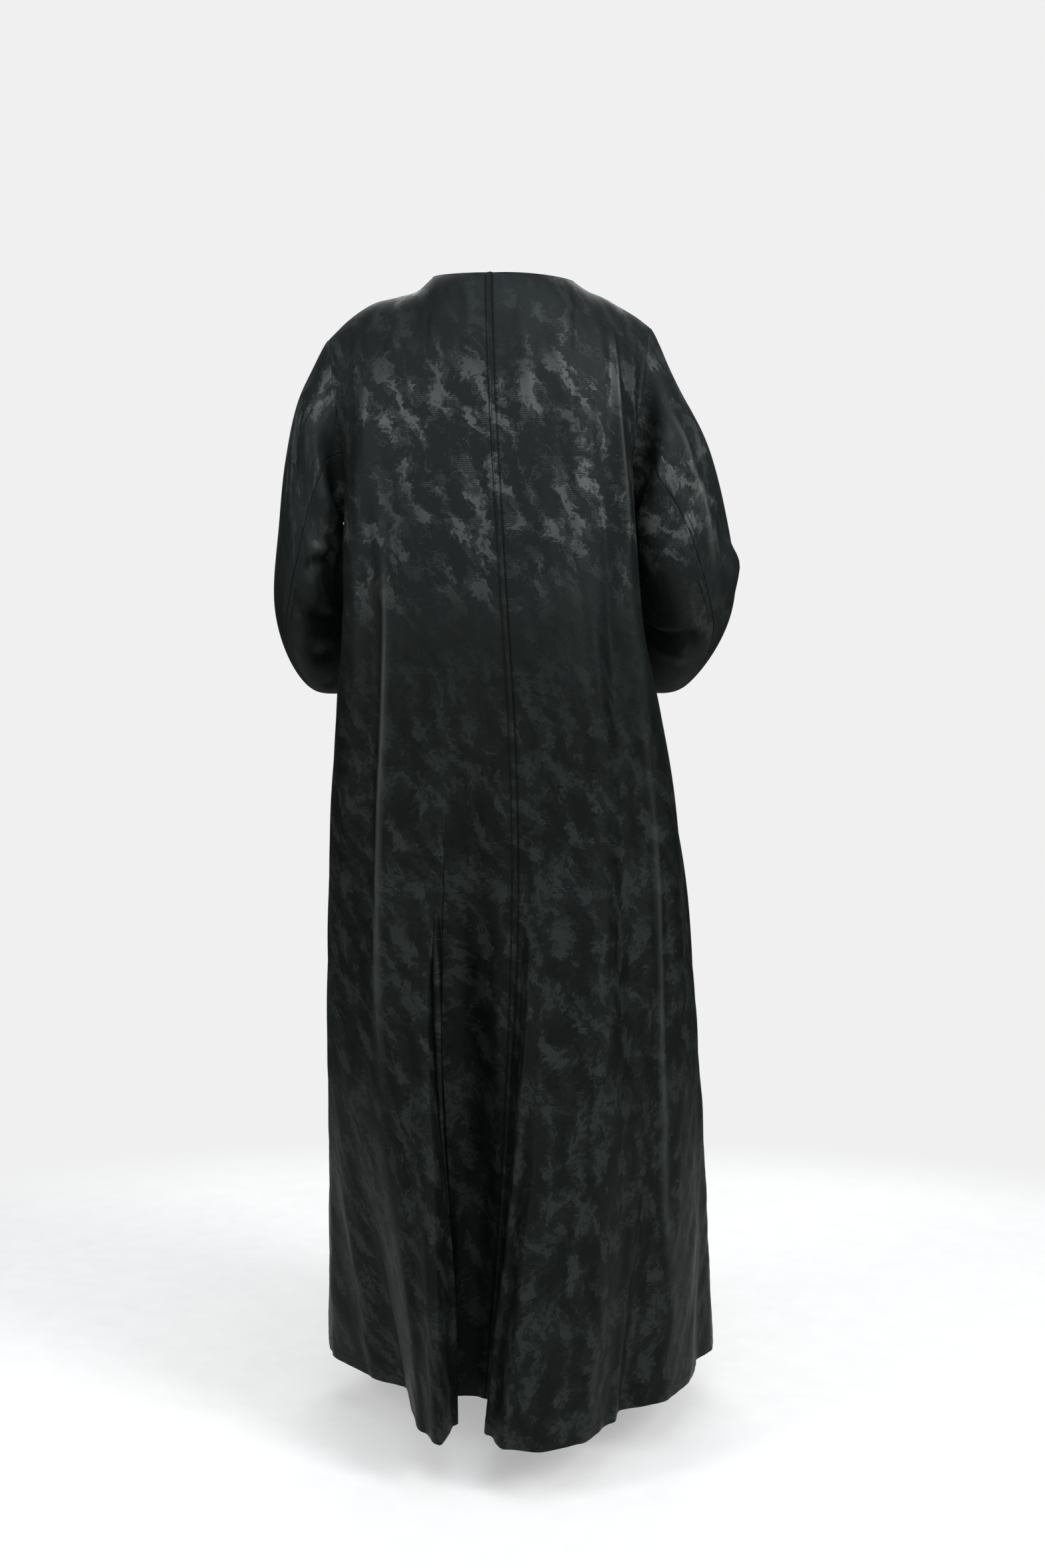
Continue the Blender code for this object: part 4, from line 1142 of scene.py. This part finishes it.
def jacquard_material(name, figure_group, grain_group, shaded_groove_lines=()):
    """Black jacquard: a satin figure on a matt ground, with painted sheen and shade by height and a painted
    highlight on crease tops.

    The lines given are the distances from the cloth's middle edge along which painted shade darkens the cloth,
    for the shadow in the stitched grooves.
    """
    material, tree, shader = new_material(name)
    measure = tree.nodes.new("ShaderNodeUVMap")
    measure.uv_map = "cloth"
    cloth = measure.outputs["UV"]
    figure = placed_group(tree, figure_group, cloth).outputs
    grain = placed_group(tree, grain_group, cloth).outputs["Grain"]
    colour = painted_sheen_tones(tree, figure, tree.nodes.new("ShaderNodeTexCoord").outputs["Object"])
    from_edge = sum_of(tree, "ABSOLUTE", parts_of(tree, cloth)[0])
    # painted shade: the cloth darkened along the stitched grooves
    for line in shaded_groove_lines:
        gap = sum_of(tree, "ABSOLUTE", sum_of(tree, "SUBTRACT", from_edge, line))
        near = falling(tree, gap, *GROOVE_SHADE_REACH)
        colour = mixed(tree, sum_of(tree, "MULTIPLY", near, GROOVE_PAINTED_SHADE), colour, THREAD_AND_GROOVE_SHADE_COLOUR)
    # painted highlight: crease tops mixed towards a bright colour
    crest = tree.nodes.new("ShaderNodeAttribute")
    crest.attribute_name = "crest"
    feed(tree, shader.inputs["Base Color"], mixed(tree, crest.outputs["Fac"], colour, CREST_PAINTED_HIGHLIGHT))
    rough = sum_of(tree, "MULTIPLY_ADD", figure["Figure"], -FIGURE_SMOOTHER, CLOTH_ROUGHNESS)
    feed(tree, shader.inputs["Roughness"], sum_of(tree, "MULTIPLY_ADD", grain, GRAIN_ROUGHER, rough))
    feed(tree, shader.inputs["Metallic"], SATIN_SHARE)
    feed(tree, shader.inputs["Specular IOR Level"], CLOTH_SPECULAR)
    feed(tree, shader.inputs["Specular Tint"], SPECULAR_TINT)
    bump = tree.nodes.new("ShaderNodeBump")
    bump.inputs["Distance"].default_value = BUMP_DISTANCE
    bump.inputs["Strength"].default_value = BUMP_STRENGTH
    feed(tree, bump.inputs["Height"], sum_of(tree, "MULTIPLY_ADD", figure["Half Tone"], FIGURE_RISE, grain))
    feed(tree, shader.inputs["Normal"], bump.outputs["Normal"])
    return material


def thread_material(grain_group):
    """Black sewing thread with its twist."""
    material, tree, shader = new_material("sewing_thread")
    grain = placed_group(tree, grain_group, tree.nodes.new("ShaderNodeTexCoord").outputs["Object"])
    grain.inputs["Lines"].default_value = THREAD_LINES
    tone = rising(tree, grain.outputs["Grain"], *THREAD_TONE_EDGE)
    feed(tree, shader.inputs["Base Color"], mixed(tree, tone, THREAD_AND_GROOVE_SHADE_COLOUR, THREAD_LIGHT))
    feed(tree, shader.inputs["Roughness"], THREAD_ROUGHNESS)
    feed(tree, shader.inputs["Specular IOR Level"], THREAD_SPECULAR)
    return material


def floor():
    """A plain pale round floor that fades out towards its rim."""
    middle = (0.0, FLOOR_MIDDLE_Y, FLOOR_Z)
    maker = bmesh.new()
    bmesh.ops.create_circle(
        maker, cap_ends=True, segments=128, radius=FLOOR_RADIUS, matrix=Matrix.Translation(middle)
    )
    mesh = bpy.data.meshes.new("floor")
    maker.to_mesh(mesh)
    maker.free()
    ground = add_object("floor", mesh)
    material, tree, shader = new_material("pale_floor")
    place = tree.nodes.new("ShaderNodeTexCoord").outputs["Object"]
    patches = noise(tree, place, FLOOR_PATCHES, 6.0).outputs["Fac"]
    feed(tree, shader.inputs["Base Color"], mixed(tree, patches, *FLOOR_COLOURS))
    feed(tree, shader.inputs["Roughness"], 0.95)
    feed(tree, shader.inputs["Specular IOR Level"], 0.1)
    feed(tree, shader.inputs["Emission Color"], FLOOR_GLOW_COLOUR)
    feed(tree, shader.inputs["Emission Strength"], FLOOR_GLOW)
    out = vector_sum(tree, "DISTANCE", place, middle).outputs["Value"]
    faded = falling(tree, out, FLOOR_RADIUS - FLOOR_FADE, FLOOR_RADIUS - FLOOR_CLEAR)
    feed(tree, shader.inputs["Alpha"], faded)
    ground.data.materials.append(material)


def soft_light(light):
    lamp = bpy.data.lights.new(light.name, "AREA")
    lamp.shape = "RECTANGLE"
    lamp.size, lamp.size_y = light.size
    lamp.energy = light.power
    lamp.color = light.colour
    holder = add_object(light.name, lamp)
    holder.location = light.place
    aim = Vector((0.0, 0.0, light.aim_z)) - Vector(light.place)
    holder.rotation_euler = aim.to_track_quat("-Z", "Y").to_euler()


def room():
    """Plain soft studio: the pale floor, the lights, and surroundings that look pale and light dimly."""
    floor()
    world = bpy.data.worlds.new("pale_room")
    bpy.context.scene.world = world
    world.use_nodes = True
    tree = world.node_tree
    seen = tree.nodes["Background"]
    feed(tree, seen.inputs["Color"], PALE)
    feed(tree, seen.inputs["Strength"], 1.0)
    around = tree.nodes.new("ShaderNodeBackground")
    feed(tree, around.inputs["Color"], ROOM_COLOUR)
    way_up = parts_of(tree, tree.nodes.new("ShaderNodeTexCoord").outputs["Generated"])[2]
    above = rising(tree, way_up, *ROOM_ABOVE)
    feed(tree, around.inputs["Strength"], sum_of(tree, "MULTIPLY_ADD", above, ROOM_LIGHT_ABOVE, ROOM_LIGHT))
    choice = tree.nodes.new("ShaderNodeMixShader")
    feed(tree, choice.inputs[0], tree.nodes.new("ShaderNodeLightPath").outputs["Is Camera Ray"])
    feed(tree, choice.inputs[1], around.outputs[0])
    feed(tree, choice.inputs[2], seen.outputs[0])
    feed(tree, tree.nodes["World Output"].inputs["Surface"], choice.outputs[0])
    for light in LIGHTS:
        soft_light(light)


def camera():
    """The photo's view: behind the cloak, a little below its shoulders and looking slightly down."""
    eye = bpy.data.cameras.new("camera")
    eye.lens = LENS
    eye.sensor_width = SENSOR_WIDTH
    eye.sensor_fit = "AUTO"
    holder = add_object("camera", eye)
    holder.location = CAMERA_PLACE
    holder.rotation_euler = Euler(tuple(math.radians(v) for v in CAMERA_TURN))
    bpy.context.scene.camera = holder


def cloak(jacquard, felled, thread):
    """The eight pieces of the cloak and the sewing that shows."""
    lines = {name: [] for name in ("back_seam", "hem", "neck", "cuffs", "front_edge")}
    hem_row = -1 - round(HEM_STITCH / ((UNDERARM_Z - HEM_Z) / SKIRT_ROWS))
    cuff_row = -1 - round(CUFF_STITCH / (SLEEVE_RUN / SLEEVE_ROWS))
    ends = ((0, -1, HEM_TURNING), (0, 0, NECK_TURNING), (1, -1, SEAM_TURNING))
    for side, word in ((1, "left"), (-1, "right")):
        places, back, cloth, facing, crest = back_half(side)
        back_turnings = ends + ((1, 0, SEAM_TURNING),) if side > 0 else ends
        piece = cloth_piece("back_%s_cloth" % word, back, cloth, facing, crest, back_turnings)
        dress(piece, "back_" + word, felled if side > 0 else jacquard)
        front_places, front, front_cloth, front_facing, front_crest = front_half(side)
        front_turnings = ends + ((1, 0, -SEAM_TURNING),)
        piece = cloth_piece(
            "front_%s_cloth" % word, front, front_cloth, front_facing, front_crest, front_turnings
        )
        dress(piece, "front_" + word, jacquard)
        for points, turned in sleeve_pieces(side, word, armhole_loop(back, front), jacquard):
            lines["cuffs"].append((points[cuff_row], turned[cuff_row]))
        lines["hem"] += [(back[hem_row], facing[hem_row]), (front[hem_row], front_facing[hem_row])]
        back_neck = (places >= 0) & (places <= NECK_CORNER_PLACE)
        neck_corner = 1 - (1 - side_seam_place(side)) * NECK_CORNER_PLACE / side_seam_place(side)
        front_neck = front_places >= neck_corner
        lines["neck"].append((back[1][back_neck], facing[1][back_neck]))
        lines["neck"].append((front[1][front_neck], front_facing[1][front_neck]))
        if side > 0:
            for stitch in FELL_STITCHES:
                at = int(np.argmin(np.abs(places * HALF_GIRTH - stitch)))
                lines["back_seam"].append((back[2:-2, at], facing[2:-2, at]))
        else:
            lines["front_edge"].append((front[2:-2, -3], front_facing[2:-2, -3]))
    for name, runs in lines.items():
        stitches("stitches_" + name, runs, thread)


woven_figure = woven_figure_group()
yarn_grain = yarn_grain_group()
cloak(
    jacquard_material("black_jacquard", woven_figure, yarn_grain),
    jacquard_material("black_jacquard_felled", woven_figure, yarn_grain, FELL_STITCHES),
    thread_material(yarn_grain),
)
room()
camera()

bpy.context.scene.view_settings.view_transform = "Standard"
